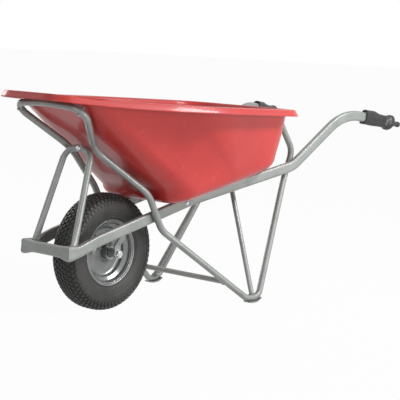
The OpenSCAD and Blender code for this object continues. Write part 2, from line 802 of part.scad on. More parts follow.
module tray() {
    m = len(tray_rings);
    n = len(tray_rings[0]);
    points = [for (ring = tray_rings) for (p = ring) p];
    sides = [for (i = [0:m - 2]) for (k = [0:n - 1])
        let (a = i * n + k, b = i * n + (k + 1) % n, c = b + n, d = a + n)
        for (f = [[a, c, b], [a, d, c]]) f];
    under = [[for (k = [0:n - 1]) k]];
    inside = [[for (k = [n - 1:-1:0]) (m - 1) * n + k]];
    color("firebrick") difference() {
        polyhedron(points, concat(sides, under, inside));
        tray_bolt_holes(strap_1);
        tray_bolt_holes(strap_3);
        for (p = [0, 1]) mirror([0, p, 0]) hoop_screw_hole();
    }
}

// Grips
module grip() {
    bulge_l = 34;
    neck_l = 22;
    knob_l = 30;
    body_l = grip_end - grip_start - bulge_l - knob_l;
    color("dimgray") along(drop_point + grip_dir * grip_start, grip_dir, grip_up) difference() {
        union() {
            linear_extrude(neck_l) oval(rail_w + 2 * grip_t + 4, rail_h + 2 * grip_t + 4, rail_r + 5);
            linear_extrude(body_l + 2) oval(rail_w + 2 * grip_t, rail_h + 2 * grip_t, rail_r + 3);
            translate([0, 0, body_l]) rotate_extrude() polygon([
                [0, 0], [grip_bulge_d / 2 - 9, 0], [grip_bulge_d / 2 - 3, 4], [grip_bulge_d / 2, 11],
                [grip_bulge_d / 2, bulge_l - 11], [grip_bulge_d / 2 - 3, bulge_l - 4],
                [grip_bulge_d / 2 - 9, bulge_l], [0, bulge_l]
            ]);
            translate([0, 0, body_l]) cylinder(r = knob_r, h = bulge_l + knob_l);
        }
        translate([0, 0, -1])
            linear_extrude(handle_l - grip_start + 1 + grip_fit)
                oval(rail_w + 2 * grip_fit, rail_h + 2 * grip_fit, rail_r);
    }
}

module left_grip() { grip(); }
module right_grip() { mirror([0, 1, 0]) grip(); }

// Wheel pieces turn about the axle: their sections are drawn with x as radius and y along the axle
module spun() {
    translate([0, 0, axle_z]) rotate([-90, 0, 0]) rotate_extrude($fn = 128) children();
}

// An outline from the middle plane and back, closed by its own mirror image
module both_sides(v) {
    polygon(concat(v, [for (i = [len(v) - 2:-1:1]) [v[i].x, -v[i].y]]));
}

bead_r = bead_d / 2;
flange_y = rim_w / 2 - rim_t;
tube_gap = 3;
inner_tube_r = tyre_w / 2 - sidewall_t - tube_gap;
inner_tube_x = tyre_d / 2 - tread_t - tube_gap - inner_tube_r;

module tyre() {
    r = tyre_d / 2;
    w = tyre_w / 2;
    f = rim_d / 2;
    g = weld_gap;
    color([0.23, 0.23, 0.22]) spun() both_sides([
        [r, 0], [r - 1, w - 30], [r - 4, w - 19], [r - 9, w - 11], [r - 16, w - 5],
        [r - 26, w - 1.2], [r - 42, w], [r - 60, w - 1], [f + 10, w - 4.5], [f + 3, flange_y + 3],
        [f + 0.5, flange_y - g],
        [bead_r + g, flange_y - g], [bead_r + g, flange_y - 9], [bead_r + 9, flange_y - 7],
        [bead_r + 24, w - sidewall_t - 4], [r - 58, w - sidewall_t], [r - 38, w - sidewall_t],
        [r - tread_t - 10, w - 15], [r - tread_t - 2, w - 28], [r - tread_t, 0]
    ]);
}

module inner_tube() {
    color("black") spun() translate([inner_tube_x, 0]) difference() {
        circle(inner_tube_r);
        circle(inner_tube_r - tube_t);
    }
}

// One pressed half of the rim: flange, bead seat, well and dished disc
module rim_pressing() {
    well_r = well_d / 2;
    hub_r = hub_d / 2 + weld_gap;
    w = rim_w / 2;
    slope_y = well_w / 2 + 9;
    polygon([
        [rim_d / 2, flange_y], [rim_d / 2, w], [bead_r - rim_t, w],
        [bead_r - rim_t, slope_y + rim_t / 2], [well_r - rim_t, well_w / 2 + rim_t / 2],
        [well_r - rim_t, rim_t], [hub_r + 16, rim_t], [hub_r + rim_t, 14], [hub_r + rim_t, 18],
        [hub_r, 18], [hub_r, 12], [hub_r + 15, 0], [well_r, 0], [well_r, well_w / 2],
        [bead_r, slope_y], [bead_r, flange_y]
    ]);
}

// The valve stands in the left half of the well and points at the hub
valve_hole_d = 11.5;
stem_d = 8;
stem_l = 34;
valve_y = rim_t + valve_hole_d / 2 + 0.5;
valve_turn = 52;
module at_valve() {
    translate([0, valve_y, axle_z]) rotate([0, -valve_turn, 0]) rotate([0, 90, 0]) children();
}

module rim_left_half() {
    color("gray") difference() {
        spun() rim_pressing();
        at_valve() cylinder(d = valve_hole_d, h = well_d);
    }
}

module rim_right_half() {
    color("gray") mirror([0, 1, 0]) spun() rim_pressing();
}

module valve_stem() {
    root = inner_tube_x - inner_tube_r + 3;
    color("black") difference() {
        at_valve() translate([0, 0, root - stem_l - 3]) {
            cylinder(d = stem_d, h = stem_l + 3);
            translate([0, 0, stem_l - 10]) cylinder(d = valve_hole_d - 0.3, h = 13);
        }
        spun() translate([inner_tube_x, 0]) circle(inner_tube_r + weld_gap);
    }
}

module valve_cap() {
    cap_l = 12;
    root = inner_tube_x - inner_tube_r + 3;
    color("lightgray") at_valve() translate([0, 0, root - stem_l - 3 - cap_l]) {
        cylinder(d = stem_d + 2, h = cap_l);
    }
}

// Hub and bearings
race_r = (bearing_d + axle_d) / 4;
race_wall = 1.9;
groove_r = ball_d / 2 + ball_gap;
bearing_y = (hub_l - bearing_w) / 2;

module hub_tube() {
    color("gray") spun() both_sides([
        [hub_d / 2, 0], [hub_d / 2, hub_l / 2], [bearing_d / 2, hub_l / 2],
        [bearing_d / 2, hub_l / 2 - bearing_w], [bearing_d / 2 - 3, hub_l / 2 - bearing_w],
        [bearing_d / 2 - 3, 0]
    ]);
}

module ring_section(low, high) {
    difference() {
        translate([low, -bearing_w / 2]) square([high - low, bearing_w]);
        translate([race_r, 0]) circle(groove_r);
    }
}

module bearing_outer_rings() {
    color("lightgray") for (y = [-1, 1]) translate([0, y * bearing_y, 0])
        spun() ring_section(race_r + race_wall, bearing_d / 2);
}

module bearing_inner_rings() {
    color("lightgray") for (y = [-1, 1]) translate([0, y * bearing_y, 0])
        spun() ring_section(axle_d / 2 + axle_fit, race_r - race_wall);
}

module bearing_balls() {
    color("white") for (y = [-1, 1])
        for (i = [0:ball_n - 1])
            translate([0, y * bearing_y, axle_z]) rotate([0, i * 360 / ball_n, 0])
                translate([race_r, 0, 0]) sphere(d = ball_d);
}

module bearing_seals() {
    seal_t = 0.6;
    color("black") for (y = [-1, 1])
        for (side = [-1, 1])
            translate([0, y * bearing_y + side * (bearing_w / 2 - 1) - seal_t / 2, 0])
                spun() translate([race_r - race_wall + 0.3, 0])
                    square([2 * race_wall - 0.3, seal_t]);
}

// Axle and what is on it
module sleeve(d, l) {
    difference() {
        cylinder(d = d, h = l);
        translate([0, 0, -1]) cylinder(d = axle_d + 2 * axle_fit, h = l + 2);
    }
}

module on_axle(y) {
    translate([0, y, axle_z]) rotate([-90, 0, 0]) children();
}

axle_washer_t = 2;
nut_y = fork_w / 2 + bracket_t + axle_washer_t;
module axle() {
    end = nut_y + axle_nut_h + 2;
    color("lightgray") {
        on_axle(-fork_w / 2) cylinder(d = axle_d, h = fork_w);
        on_axle(-end) cylinder(d = thread_d, h = 2 * end);
    }
}

module bearing_spacer() {
    color("gray") on_axle(bearing_w - hub_l / 2) sleeve(sleeve_d, hub_l - 2 * bearing_w);
}

module axle_sleeves() {
    color("lightgray") {
        on_axle(hub_l / 2) sleeve(sleeve_d, (fork_w - hub_l) / 2);
        on_axle(-fork_w / 2) sleeve(sleeve_d, (fork_w - hub_l) / 2);
    }
}

module axle_washers() {
    color("lightgray") for (side = [0, 1]) mirror([0, side, 0])
        on_axle(fork_w / 2 + bracket_t) difference() {
            cylinder(d = 1.9 * thread_d, h = axle_washer_t);
            translate([0, 0, -1]) cylinder(d = thread_d + 2 * bore_fit, h = axle_washer_t + 2);
        }
}

module axle_nuts() {
    color("lightgray") for (side = [0, 1]) mirror([0, side, 0])
        on_axle(nut_y) nut(thread_d, axle_nut_h, axle_nut_af);
}

// Every piece is moved so that the origin is on the ground under the middle of the length
module put() {
    translate([-middle_x, 0, 0]) children();
}

put() tray();
put() left_rail();
put() right_rail();
put() front_bar();
put() front_hoop();
put() rear_hoop();
put() left_leg();
put() right_leg();
put() leg_stay();
put() tie_bar();
put() front_brace();
put() left_foot_plate();
put() right_foot_plate();
put() left_axle_bracket();
put() right_axle_bracket();
put() front_strap();
put() middle_strap();
put() rear_strap();
put() strap_bolts();
put() strap_nuts();
put() tray_bolts();
put() tray_washers();
put() tray_nuts();
put() brace_bolt();
put() brace_bolt_nut();
put() hoop_screws();
put() left_grip();
put() right_grip();
put() tyre();
put() inner_tube();
put() rim_left_half();
put() rim_right_half();
put() hub_tube();
put() bearing_outer_rings();
put() bearing_inner_rings();
put() bearing_balls();
put() bearing_seals();
put() axle();
put() bearing_spacer();
put() axle_sleeves();
put() axle_washers();
put() axle_nuts();
put() valve_stem();
put() valve_cap();
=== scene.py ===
# Builds the looks of a single-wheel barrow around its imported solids.
import bpy
import bmesh
import json
from math import atan2, copysign, cos, exp, pi, radians, sin, sqrt, tan
from mathutils import Matrix, Vector


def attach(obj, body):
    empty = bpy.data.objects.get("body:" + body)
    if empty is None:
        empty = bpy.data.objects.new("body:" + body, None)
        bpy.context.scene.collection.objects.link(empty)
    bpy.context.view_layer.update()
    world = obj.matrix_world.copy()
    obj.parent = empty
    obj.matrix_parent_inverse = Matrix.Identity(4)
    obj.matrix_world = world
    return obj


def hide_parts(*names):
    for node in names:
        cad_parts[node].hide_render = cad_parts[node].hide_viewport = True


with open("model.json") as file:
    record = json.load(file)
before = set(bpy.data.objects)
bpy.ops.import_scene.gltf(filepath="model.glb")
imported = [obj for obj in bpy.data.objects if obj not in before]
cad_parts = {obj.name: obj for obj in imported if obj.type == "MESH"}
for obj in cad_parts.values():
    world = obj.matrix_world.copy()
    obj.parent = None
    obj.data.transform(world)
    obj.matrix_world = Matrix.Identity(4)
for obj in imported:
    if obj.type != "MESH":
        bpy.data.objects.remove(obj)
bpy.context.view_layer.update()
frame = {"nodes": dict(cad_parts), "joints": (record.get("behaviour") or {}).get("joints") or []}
scene = bpy.context.scene
mm = 0.001
axlePoint = Vector(frame["joints"][0]["pos_m"])
axleHeight = axlePoint.z / mm
print("frame loaded:", len(frame["nodes"]), "solids")


# Places are given in mm from the ground under the axle
def toFrame(p):
    return Vector((axlePoint.x + p[0] * mm, p[1] * mm, p[2] * mm))


def flip(p):
    return Vector((p[0], -p[1], p[2]))


# ---- small helpers for node trees and meshes

def hexColour(text):
    parts = [int(text[i:i + 2], 16) / 255 for i in (1, 3, 5)]
    return [c / 12.92 if c < 0.04045 else ((c + 0.055) / 1.055) ** 2.4 for c in parts] + [1]


# Adds a node with its settings. An input takes a value, a socket or a node, for its first output
def addNode(tree, kind, inputs=None, **settings):
    node = tree.nodes.new(kind)
    for name, value in settings.items():
        setattr(node, name, value)
    for name, value in (inputs or {}).items():
        source = value.outputs[0] if isinstance(value, bpy.types.Node) else value
        if isinstance(source, bpy.types.NodeSocket):
            tree.links.new(source, node.inputs[name])
        else:
            node.inputs[name].default_value = source
    return node


def addObject(name, data):
    made = bpy.data.objects.new(name, data)
    scene.collection.objects.link(made)
    return made


def makePiece(name, points, faces, finish, sharp=35):
    mesh = bpy.data.meshes.new(name)
    mesh.from_pydata([tuple(p) for p in points], [], faces)
    mesh.update()
    piece = addObject(name, mesh)
    tidyMesh(mesh, sharp)
    if finish:
        mesh.materials.append(finish)
    return piece


def tidyMesh(mesh, sharp=35):
    bm = bmesh.new()
    bm.from_mesh(mesh)
    bmesh.ops.remove_doubles(bm, verts=bm.verts, dist=1e-6)
    bmesh.ops.recalc_face_normals(bm, faces=bm.faces)
    bm.to_mesh(mesh)
    bm.free()
    mesh.shade_smooth()
    mesh.set_sharp_from_angle(angle=radians(sharp))


# Turns what an object's modifiers make into one plain mesh
def settle(piece):
    view = bpy.context.evaluated_depsgraph_get()
    mesh = bpy.data.meshes.new_from_object(piece.evaluated_get(view), depsgraph=view)
    piece.modifiers.clear()
    piece.data = mesh
    mesh.name = piece.name


# Faces between rings of n points each, with the first and the last ring closed
def ringFaces(count, n):
    faces = [(i * n + k, i * n + (k + 1) % n, (i + 1) * n + (k + 1) % n, (i + 1) * n + k)
             for i in range(count - 1) for k in range(n)]
    return faces + [tuple(range(n))[::-1], tuple(range((count - 1) * n, count * n))]


# The ways from a corner to its neighbours, and half the angle between them
def cornerAt(points, i):
    a = (points[i - 1] - points[i]).normalized()
    b = (points[(i + 1) % len(points)] - points[i]).normalized()
    return a, b, a.angle(b) / 2


# Stations along a path of straight runs and round bends: a place and a direction at each
def bentLine(path, bends, perBend=8):
    stations = []
    for i, p in enumerate(path):
        if bends[i] == 0:
            run = path[1] - path[0] if i == 0 else p - path[i - 1]
            stations.append((p, run.normalized()))
            continue
        a, b, half = cornerAt(path, i)
        centre = p + (a + b).normalized() * bends[i] / sin(half)
        arm = p + a * bends[i] / tan(half) - centre
        axis = arm.cross(p + b * bends[i] / tan(half) - centre).normalized()
        for k in range(perBend + 1):
            turn = Matrix.Rotation((pi - 2 * half) * k / perBend, 3, axis)
            stations.append((centre + turn @ arm, turn @ -a))
    return stations


# Adds stations on the straight runs so that no step is longer than asked
def refined(stations, step):
    out = [stations[0]]
    for (p, d), (q, e) in zip(stations, stations[1:]):
        straight = d.dot(e) > 0.99999
        n = max(1, round((q - p).length / step)) if straight else 1
        out += [(p.lerp(q, k / n), d.lerp(e, k / n).normalized()) for k in range(1, n + 1)]
    return out


def reachAlong(stations):
    reach = [0]
    for (p, _), (q, _) in zip(stations, stations[1:]):
        reach.append(reach[-1] + (q - p).length)
    return reach


# Draws a section at each station: section(i, reach) gives its points, so it may change along the way
def sweepSection(stations, section, up):
    points = []
    u = Vector(up)
    reach = reachAlong(stations)
    for i, (p, d) in enumerate(stations):
        if i:
            u = stations[i - 1][1].rotation_difference(d) @ u
        u = (u - d * u.dot(d)).normalized()
        x = u.cross(d)
        ring = section(i, reach[i])
        points += [p + x * q[0] + u * q[1] for q in ring]
    return [toFrame(p) for p in points], ringFaces(len(stations), len(ring))


def roundSection(r, n=28):
    return [(r * cos(2 * pi * k / n), r * sin(2 * pi * k / n)) for k in range(n)]


# A closed ring of arcs joined by straight runs, each run cut into its own number of steps
def joinedArcs(arcs, cuts):
    ring = []
    for arc, following, n in zip(arcs, arcs[1:] + arcs[:1], cuts):
        ring += arc + [arc[-1].lerp(following[0], k / n) for k in range(1, n)]
    return ring


def boxSection(w, h, r, perCorner=5, perSide=4):
    arcs = []
    for k, (sx, sy) in enumerate([(1, 1), (-1, 1), (-1, -1), (1, -1)]):
        middle = Vector((sx * (w / 2 - r), sy * (h / 2 - r)))
        turns = [(k + j / perCorner) * pi / 2 for j in range(perCorner + 1)]
        arcs.append([middle + Vector((cos(a), sin(a))) * r for a in turns])
    return joinedArcs(arcs, [perSide] * 4)


# Turns a profile of radius and place along the axle into a ring round the axle
def turnedPiece(profile, turns=144):
    n = len(profile)
    points, faces = [], []
    for k in range(turns):
        a = 2 * pi * k / turns
        points += [Vector((r * cos(a), y, r * sin(a))) * mm for r, y in profile]
        for j in range(n):
            p, q = k * n + j, k * n + (j + 1) % n
            e, f = (k + 1) % turns * n + j, (k + 1) % turns * n + (j + 1) % n
            faces.append((p, q, f, e))
    return points, faces


# Adds the other half of a profile that starts and ends on the middle plane
def mirrored(profile):
    return profile + [(r, -y) for r, y in reversed(profile[1:-1])]


# Rounds the corners of a profile: each point is given as (radius, place, rounding). A rounding takes
# up to a share of the sides beside it
def softened(profile, steps=4, share=0.45):
    out = []
    n = len(profile)
    for i, (x, y, r) in enumerate(profile):
        if not r:
            out.append((x, y))
            continue
        p = Vector((x, y))
        a = Vector(profile[i - 1][:2]) - p
        b = Vector(profile[(i + 1) % n][:2]) - p
        half = a.angle(b) / 2
        reach = min(r / tan(half), a.length * share, b.length * share)
        s, e = p + a.normalized() * reach, p + b.normalized() * reach
        for k in range(steps + 1):
            t = k / steps
            q = s * (1 - t) ** 2 + p * 2 * t * (1 - t) + e * t ** 2
            out.append((q.x, q.y))
    return out


# ---- camera, light and floor

cameraSettings = {
    "place": (3235.0, 3224.2, 943.9), "turn": 3.8544, "dip": 0.1213, "roll": 0.0426,
    "lens": 122.36, "sensor": 36, "farthest": 200,
}


def setCamera(s):
    ahead = Vector((cos(s["dip"]) * cos(s["turn"]), cos(s["dip"]) * sin(s["turn"]), -sin(s["dip"])))
    level = ahead.cross(Vector((0, 0, 1))).normalized()
    upright = level.cross(ahead)
    right = level * cos(s["roll"]) + upright * sin(s["roll"])
    up = upright * cos(s["roll"]) - level * sin(s["roll"])
    data = bpy.data.cameras.new("camera")
    data.lens = s["lens"]
    data.sensor_width = s["sensor"]
    data.clip_end = s["farthest"]
    camera = addObject("camera", data)
    turn = Matrix((right, up, -ahead)).transposed().to_4x4()
    camera.matrix_world = Matrix.Translation(toFrame(s["place"])) @ turn
    scene.camera = camera


# Soft lamps in watts and metres, and the grey of the room's own light
lightSettings = {
    "lamps": {
        "topSoftbox": {"power": 66, "size": (1.6, 0.5), "place": (-0.8, 2.1, 2.35), "aim": (0, 0, 0.4)},
        "sideSoftbox": {"power": 146, "size": (2.6, 1.8), "place": (-1.1, 5.6, 1), "aim": (-0.1, 0, 0.45)},
        "frontSoftbox": {"power": 26, "size": (1.8, 1.8), "place": (3.6, 1.3, 1.5), "aim": (0.4, 0, 0.5)},
        "backSoftbox": {"power": 70, "size": (2.5, 1.5), "place": (0.6, -4.6, 2.2), "aim": (0, 0, 0.45)},
    },
    "skyGrey": 0.13, "floorReach": 40, "floorGlow": 0.97, "floorColour": "#C9C9C7",
}


def addLamp(name, s):
    lamp = bpy.data.lights.new(name, "AREA")
    lamp.shape = "RECTANGLE"
    lamp.energy, lamp.size, lamp.size_y = s["power"], s["size"][0], s["size"][1]
    holder = addObject(name, lamp)
    holder.location = s["place"]
    aimed = Vector(s["aim"]) - Vector(s["place"])
    holder.rotation_euler = aimed.to_track_quat("-Z", "Y").to_euler()


# 1 for rays from the camera, a gloss or a glass, and 0 for those that only carry light
def seenShare(tree):
    ray = addNode(tree, "ShaderNodeLightPath").outputs
    seen = addNode(tree, "ShaderNodeMath",
                   {0: ray["Is Camera Ray"], 1: ray["Is Glossy Ray"]}, operation="MAXIMUM")
    return addNode(tree, "ShaderNodeMath", {0: seen, 1: ray["Is Transmission Ray"]}, operation="MAXIMUM")


def setLight(s):
    for name, lamp in s["lamps"].items():
        addLamp(name, lamp)
    world = bpy.data.worlds.new("studio")
    scene.world = world
    world.use_nodes = True
    tree = world.node_tree
    tree.nodes.clear()
    strength = addNode(tree, "ShaderNodeMapRange",
                       {"To Min": s["skyGrey"], "To Max": 1.0, "Value": seenShare(tree)})
    sky = addNode(tree, "ShaderNodeBackground", {"Color": (1, 1, 1, 1), "Strength": strength})
    addNode(tree, "ShaderNodeOutputWorld", {"Surface": sky})
    scene.view_settings.view_transform = "Standard"


# White paper that glows for the camera and still takes a little of the barrow's shadow
def makeFloor(s):
    mesh = bpy.data.meshes.new("studioFloor")
    r = s["floorReach"]
    mesh.from_pydata([(-r, -r, 0), (r, -r, 0), (r, r, 0), (-r, r, 0)], [], [(0, 1, 2, 3)])
    floor = addObject("studioFloor", mesh)
    paper = bpy.data.materials.new("whitePaperSweep")
    paper.use_nodes = True
    paper.cycles.emission_sampling = "NONE"
    tree = paper.node_tree
    tree.nodes.clear()
    matt = addNode(tree, "ShaderNodeBsdfDiffuse", {"Color": hexColour(s["floorColour"])})
    glow = addNode(tree, "ShaderNodeEmission", {"Strength": 1.0})
    share = addNode(tree, "ShaderNodeMath", {0: seenShare(tree), 1: s["floorGlow"]}, operation="MULTIPLY")
    mixed = addNode(tree, "ShaderNodeMixShader", {"Fac": share, 1: matt, 2: glow})
    addNode(tree, "ShaderNodeOutputMaterial", {"Surface": mixed})
    mesh.materials.append(paper)


setCamera(cameraSettings)
setLight(lightSettings)
makeFloor(lightSettings)
print("camera, light and floor set")


# ---- finishes

def perMm(size):
    return 1000 / size


# Starts a material and returns its tree, its shader and its Object coordinates
def newFinish(name, **shader):
    finish = bpy.data.materials.new(name)
    finish.use_nodes = True
    tree = finish.node_tree
    tree.nodes.clear()
    surface = addNode(tree, "ShaderNodeBsdfPrincipled", {k.replace("_", " "): v for k, v in shader.items()})
    addNode(tree, "ShaderNodeOutputMaterial", {"Surface": surface})
    place = addNode(tree, "ShaderNodeTexCoord")
    return finish, tree, surface, place.outputs["Object"]


def noise(tree, place, size, detail=3, roughness=0.55):
    node = addNode(tree, "ShaderNodeTexNoise",
                   {"Scale": perMm(size), "Detail": detail, "Roughness": roughness, "Vector": place})
    return node.outputs["Fac"]


# Turns a value into colours: stops are (position, hex colour)
def colourStops(tree, value, *stops):
    ramp = addNode(tree, "ShaderNodeValToRGB", {"Fac": value})
    elements = ramp.color_ramp.elements
    while len(elements) < len(stops):
        elements.new(0.5)
    for element, (position, colour) in zip(elements, stops):
        element.position, element.color = position, hexColour(colour)
    return ramp.outputs["Color"]


def ranged(tree, value, low, high, fromLow=0.3, fromHigh=0.7):
    node = addNode(tree, "ShaderNodeMapRange",
                   {"From Min": fromLow, "From Max": fromHigh, "To Min": low, "To Max": high, "Value": value})
    return node.outputs["Result"]


# Colour inputs 6 and 7 and output 2 are the Mix node's colour sockets
def blended(tree, share, first, second):
    node = addNode(tree, "ShaderNodeMix", {0: share, 6: first, 7: second}, data_type="RGBA")
    return node.outputs[2]


# Feeds a shader its colour, its roughness and a relief of so many mm
def dress(tree, surface, colour, roughness, height, depth):
    bump = addNode(tree, "ShaderNodeBump", {"Strength": 1.0, "Distance": depth * mm, "Height": height})
    for label, source in (("Base Color", colour), ("Roughness", roughness), ("Normal", bump.outputs[0])):
        tree.links.new(source, surface.inputs[label])


# Injection-moulded polypropylene: an even pigment, a soft sheen and a very faint moulded grain,
# with scuffs that turn the red pale and dull
def mouldedRed():
    finish, tree, surface, place = newFinish("mouldedRedPolypropylene", IOR=1.49, Specular_IOR_Level=0.42,
                                             Coat_Weight=0.25, Coat_Roughness=0.06)
    cloud = noise(tree, place, 260, 2)
    pigment = colourStops(tree, cloud, (0.3, "#B92E2D"), (0.7, "#C63733"))
    grain = noise(tree, place, 2.6, 2)
    speckled = blended(tree, ranged(tree, grain, 0.0, 0.10), pigment,
                       colourStops(tree, grain, (0, "#A82828"), (1, "#D24843")))
    scuff = noise(tree, place, 34, 6, 0.7)
    worn = blended(tree, ranged(tree, scuff, 0.0, 0.16, 0.56, 0.72), speckled,
                   colourStops(tree, scuff, (0, "#D46A60"), (1, "#DC7A70")))
    dress(tree, surface, worn, ranged(tree, scuff, 0.30, 0.44), noise(tree, place, 0.9, 2), 0.02)
    return finish


# Silver-grey stove enamel with aluminium flake over drawn steel: satin, slightly wavy, with a darker and
# paler tone that changes at random
def silverEnamel(name="silverStoveEnamel", dark="#7D817E", pale="#909491", metal=0.25, rough=(0.42, 0.52)):
    finish, tree, surface, place = newFinish(name, Metallic=metal, Coat_Weight=0.6, Coat_Roughness=0.16)
    flake = noise(tree, place, 0.7, 1)
    cloud = noise(tree, place, 60, 4)
    paint = colourStops(tree, cloud, (0.3, dark), (0.7, pale))
    flaked = blended(tree, ranged(tree, flake, 0.0, 0.06), paint,
                     colourStops(tree, flake, (0.4, "#7B7F7D"), (0.6, "#B9BDBB")))
    dress(tree, surface, flaked, ranged(tree, cloud, *rough), noise(tree, place, 9, 2), 0.012)
    return finish


# Zinc plate, blue-bright passivated: cool grey crystals and a slightly uneven shine
def zincPlate():
    finish, tree, surface, place = newFinish("brightZincPlate", Metallic=1.0)
    crystal = addNode(tree, "ShaderNodeTexVoronoi", {"Scale": perMm(1.6), "Vector": place}).outputs["Color"]
    grey = colourStops(tree, crystal, (0, "#B2B4B6"), (1, "#D3D5D6"))
    shine = ranged(tree, noise(tree, place, 3, 3), 0.24, 0.4)
    dress(tree, surface, grey, shine, noise(tree, place, 2, 2), 0.006)
    return finish


# Turned bright steel: fine lathe rings round the axle catch the light
def turnedSteel():
    finish, tree, surface, place = newFinish("turnedBrightSteel", Metallic=1.0)
    # A wave's period is a twentieth of a turn over its scale. Real rings are too fine to show, so these
    # stand 3.157 mm apart
    scale = 2 * pi / 20 * perMm(3.157)
    rings = addNode(tree, "ShaderNodeTexWave", {"Scale": scale, "Distortion": 0.4, "Vector": place},
                    wave_type="BANDS", bands_direction="Y").outputs["Fac"]
    tone = colourStops(tree, noise(tree, place, 4), (0.3, "#8C8E90"), (0.7, "#A9ABAC"))
    dress(tree, surface, tone, ranged(tree, rings, 0.28, 0.4, 0, 1), rings, 0.008)
    return finish


# Hard tyre rubber with carbon black: near black, dull, finely grained, with a bloom of pale dust
def tyreRubber():
    finish, tree, surface, place = newFinish("vulcanisedTyreRubber", Specular_IOR_Level=0.4, IOR=1.52)
    dust = noise(tree, place, 22, 5, 0.65)
    wiped = noise(tree, place, 120, 2)
    fresh = colourStops(tree, dust, (0.35, "#1D1D1C"), (0.6, "#272726"), (0.8, "#383734"))
    dusty = colourStops(tree, dust, (0.3, "#2A2A29"), (0.6, "#3B3A38"), (0.8, "#4C4B47"))
    black = blended(tree, ranged(tree, wiped, 0.0, 1.0, 0.4, 0.65), fresh, dusty)
    dress(tree, surface, black, ranged(tree, dust, 0.42, 0.6), noise(tree, place, 1.3, 3), 0.05)
    return finish


# Butyl rubber of the inner tube and seals: softer and a little smoother than the tyre
def softRubber():
    finish, tree, surface, place = newFinish("butylTubeRubber", Specular_IOR_Level=0.45)
    tone = noise(tree, place, 12, 3)
    black = colourStops(tree, tone, (0.3, "#1C1C1C"), (0.7, "#2A2A29"))
    dress(tree, surface, black, ranged(tree, tone, 0.42, 0.55), noise(tree, place, 1.0), 0.02)
    return finish


# Moulded black PVC of the hand grips: fine spark-eroded grain and a dull sheen that greys on the ridges
def gripPlastic():
    finish, tree, surface, place = newFinish("mouldedBlackGripPvc", IOR=1.53, Specular_IOR_Level=0.5)
    tone = noise(tree, place, 30, 4)
    black = colourStops(tree, tone, (0.3, "#1B1B1C"), (0.7, "#242425"))
    dress(tree, surface, black, ranged(tree, tone, 0.33, 0.44), noise(tree, place, 0.7, 2), 0.03)
    return finish


redTray = mouldedRed()
silverPaint = silverEnamel()
rimPaint = silverEnamel("greyRimEnamel", "#6C6F6E", "#7E8180", 0.6, (0.26, 0.36))
zinc = zincPlate()
brightSteel = turnedSteel()
tyreBlack = tyreRubber()
tubeBlack = softRubber()
gripBlack = gripPlastic()

slotFinish = {
    "tray_red": redTray, "frame_silver": silverPaint, "zinc": zinc, "bright_steel": brightSteel,
    "rim_grey": rimPaint, "tyre_black": tyreBlack, "tube_rubber": tubeBlack, "grip_black": gripBlack,
}
for node in frame["nodes"].values():
    for i, material in enumerate(node.data.materials):
        name = material.name.split(".")[0] if material else ""
        node.data.materials[i] = slotFinish.get(name, silverPaint)
for name, finish in (("hub_tube", rimPaint), ("axle_sleeves", silverPaint), ("hoop_screws", silverPaint)):
    materials = frame["nodes"][name].data.materials
    for i in range(len(materials)):
        materials[i] = finish
print("finishes made:", len(slotFinish))


# ---- main tube: handles, rails and front bar as one bent tube with crushed front corners

tubeSettings = {
    "height": 38, "width": 22, "corner": 8, "tilt": 13.2, "rise": 89.75, "gap": 211.2,
    "frontX": 255.5, "frontRise": 31, "levelX": 217, "dipX": 130, "splayX": 320, "splay": 10.6,
    "liftX": 785.7, "lift": 25.8, "liftLength": 313, "drop": 47.6, "handle": 245,
    "bends": [0, 195, 110, 150, 150, 90, 0], "crush": 10, "crushReach": 27, "crushUp": 3, "pinch": 2.6,
    "bendSteps": 10, "step": 9, "barInset": 12,
}


# The main tubes' own up and backward directions: they rise towards the handles
def railWays():
    tilt = radians(tubeSettings["tilt"])
    return tilt, Vector((sin(tilt), 0, cos(tilt))), Vector((-cos(tilt), 0, sin(tilt)))


def railLine(s):
    splay = radians(s["splay"])
    tilt, up, back = railWays()
    out = back * cos(splay) + Vector((0, sin(splay), 0))
    y, z = s["gap"] / 2, axleHeight + s["rise"]
    lift = out * cos(radians(s["lift"])) + up * sin(radians(s["lift"]))
    away = radians(s["lift"] - s["drop"])
    grip = out * cos(away) + up * sin(away)
    gripUp = up * cos(away) - out * sin(away)
    splayAt = Vector((0, y, z)) + back * s["splayX"] / cos(tilt)
    liftAt = splayAt + out * (s["liftX"] - s["splayX"]) / -out.x
    dropAt = liftAt + lift * s["liftLength"]
    front = axleHeight + s["frontRise"]
    line = [dropAt + grip * s["handle"], dropAt, liftAt, splayAt,
            Vector((s["dipX"], y, z - s["dipX"] * tan(tilt))),
            Vector((s["levelX"], y, front)), Vector((s["frontX"], y, front))]
    return line, dropAt, grip, gripUp


railPath, gripRoot, gripWay, gripUpright = railLine(tubeSettings)


